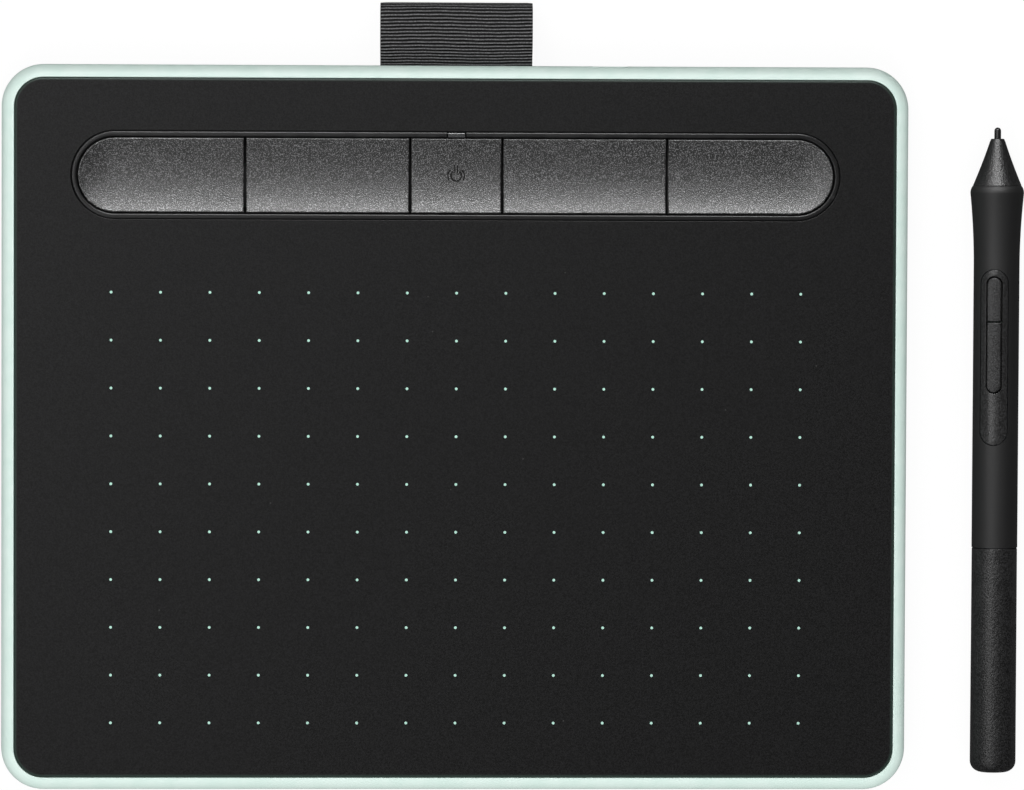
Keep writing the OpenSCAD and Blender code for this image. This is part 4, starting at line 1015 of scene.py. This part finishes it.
def soften(piece, width, count, test):
    """Round the edges where faces meet at a clear angle and the test passes."""
    bpy.ops.mesh.select_mode(type="EDGE")
    bpy.ops.mesh.select_all(action="DESELECT")
    shape = bmesh.from_edit_mesh(piece.data)
    for e in shape.edges:
        middle = (e.verts[0].co + e.verts[1].co) / 2
        if len(e.link_faces) == 2 and e.calc_face_angle() > 0.7 and test(middle):
            e.select_set(True)
    bmesh.update_edit_mesh(piece.data)
    bpy.ops.mesh.bevel(offset=width * mm, segments=count, affect="EDGES", clamp_overlap=False)


plate = pill("switch_plate", plate_low, plate_high, 5.96, 3.7, 5.6, segments=20)
crown(plate, barrel_r, plate_low, plate_high, 2.98, 1, (0.45, 0.9, 1.35, 2.3))
soften(plate, 0.12, 3, lambda middle: middle.y < -3.9 * mm)
carve(plate, [pill("slot", 84.27, 110.23, 3.6, 2.5, 8)])
bpy.ops.object.mode_set(mode="EDIT")
soften(plate, 0.14, 3, lambda middle: middle.y < -4.6 * mm and abs(middle.x) < 1.85 * mm
       and 84.2 * mm < middle.z < 110.3 * mm)
sound(plate, lambda place: barrel_r - math.hypot(place.x, place.y))
lay(plate)
complete(plate, inner_black, "pen", ["pen_switch_plate"])

button_plastic, tree, bsdf, skin = moulded("button_plastic", 0.4, 0.3, Specular_IOR_Level=0.5)
pits = ramp(tree, skin["Height"], 0.38, 0.62)
deep = put(tree, "Group", node_tree=gaps, Start=0.25, Full=0.55).outputs[0]
body_tone = mingle(tree, pits, rgb(6, 6, 7), rgb(40, 40, 41))
# painted shade: black on the flange and the button's sides down in the slot
body_tone = mingle(tree, deep, body_tone, rgb(1, 1, 1))
rubbed = laid(tree, wear, Amount=0.3)[0]
surface(tree, bsdf, mingle(tree, rubbed, body_tone, rgb(96, 96, 96)), skin["Height"], 0.05)
tree.links.new(ramp(tree, deep, 0, 1, 0.46, 1), bsdf.inputs["Roughness"])

for name, node, body, low, high, flange_low, flange_high in (
    ("rocker_front", "pen_button_front", "front_side_button", 100.25, buttons_high, 100.25, 110.4),
    ("rocker_rear", "pen_button_rear", "rear_side_button", buttons_low, 100.0, 84.1, 100.0),
):
    # both are cut from one crowned block, which leaves the gap between them straight
    button = pill(name, buttons_low, buttons_high, 3.0, 3.1, 5.8)
    crown(button, button_r, buttons_low, buttons_high, 1.5, 0.5, (0.45, 0.9))
    if low > buttons_low:
        split((0, 0, low), (0, 0, 1), use_fill=True, clear_inner=True)
    else:
        split((0, 0, high), (0, 0, 1), use_fill=True, clear_outer=True)
    soften(button, 0.2, 4, lambda middle: middle.y < -4.8 * mm)
    only(button)
    carve(button, [brick(-1.98, 1.98, -3.68, -3.1, flange_low, flange_high)], "UNION")
    plunger = rod(0, 0, 0.8, 2.55, 3.2, 20)
    plunger.rotation_euler.x = math.pi / 2
    plunger.location.z = (low + high) / 2 * mm
    settle()
    carve(button, [plunger], "UNION")
    sound(button, lambda place: button_r - math.hypot(place.x, place.y))
    lay(button)
    complete(button, button_plastic, body, [node], angle=28)

# --- Nib ---
# A turned polyoxymethylene rod, worn round at its writing end. It slides in the
# cone, and its rear end stands in the holder that presses on the sensor.
nib_plastic, tree, bsdf, skin = moulded("nib_plastic", 0.1, Roughness=0.32, Specular_IOR_Level=0.5)
body_tone = mingle(tree, skin["Tone"], rgb(22, 22, 23), rgb(32, 32, 33))
surface(tree, bsdf, body_tone, skin["Height"], 0.004)

nib_r, nib_low, nib_tip = 0.75, 118.5, 143
turns = [math.radians(15 * i) for i in range(6)]
rounding = [(nib_r * math.cos(a), nib_tip - nib_r + nib_r * math.sin(a)) for a in turns]
rear_end = [(0, nib_low), (nib_r - 0.07, nib_low), (nib_r, nib_low + 0.1)]
nib = turned("writing_nib", rear_end + rounding + [(0, nib_tip)], sides=32)
lay(nib)
complete(nib, nib_plastic, "nib", ["pen_nib"], angle=60, weighted=False)

# --- Inside the pen ---
# A chassis slides into the barrel with the switches' board, the pressure sensor
# that the nib's holder pushes, the coil on its core, and spare nibs in its tail.
dress(nib_plastic, "spare_nibs")
plain("pen_inner_grey", (84, 88, 92), (98, 102, 106), 0.25, 0.02, ["pen_chassis"], Roughness=0.5)
plain("sensor_capsule", (156, 140, 112), (178, 160, 132), 0.3, 0.01, ["pen_pressure_sensor"], Roughness=0.45)
plain("ferrite", (52, 48, 46), (68, 62, 60), 0.15, 0.02, ["pen_ferrite_core"], Roughness=0.7)
plain("copper_winding", (160, 84, 40), (196, 112, 60), 0.3, 0.02, ["pen_coil"],
      lines=(0.12, 0.5, (120, 58, 28)), Metallic=0.8, Roughness=0.35)
plain("holder_plastic", (192, 193, 188), (210, 211, 206), 0.25, 0.01, ["nib_holder"], Roughness=0.5)
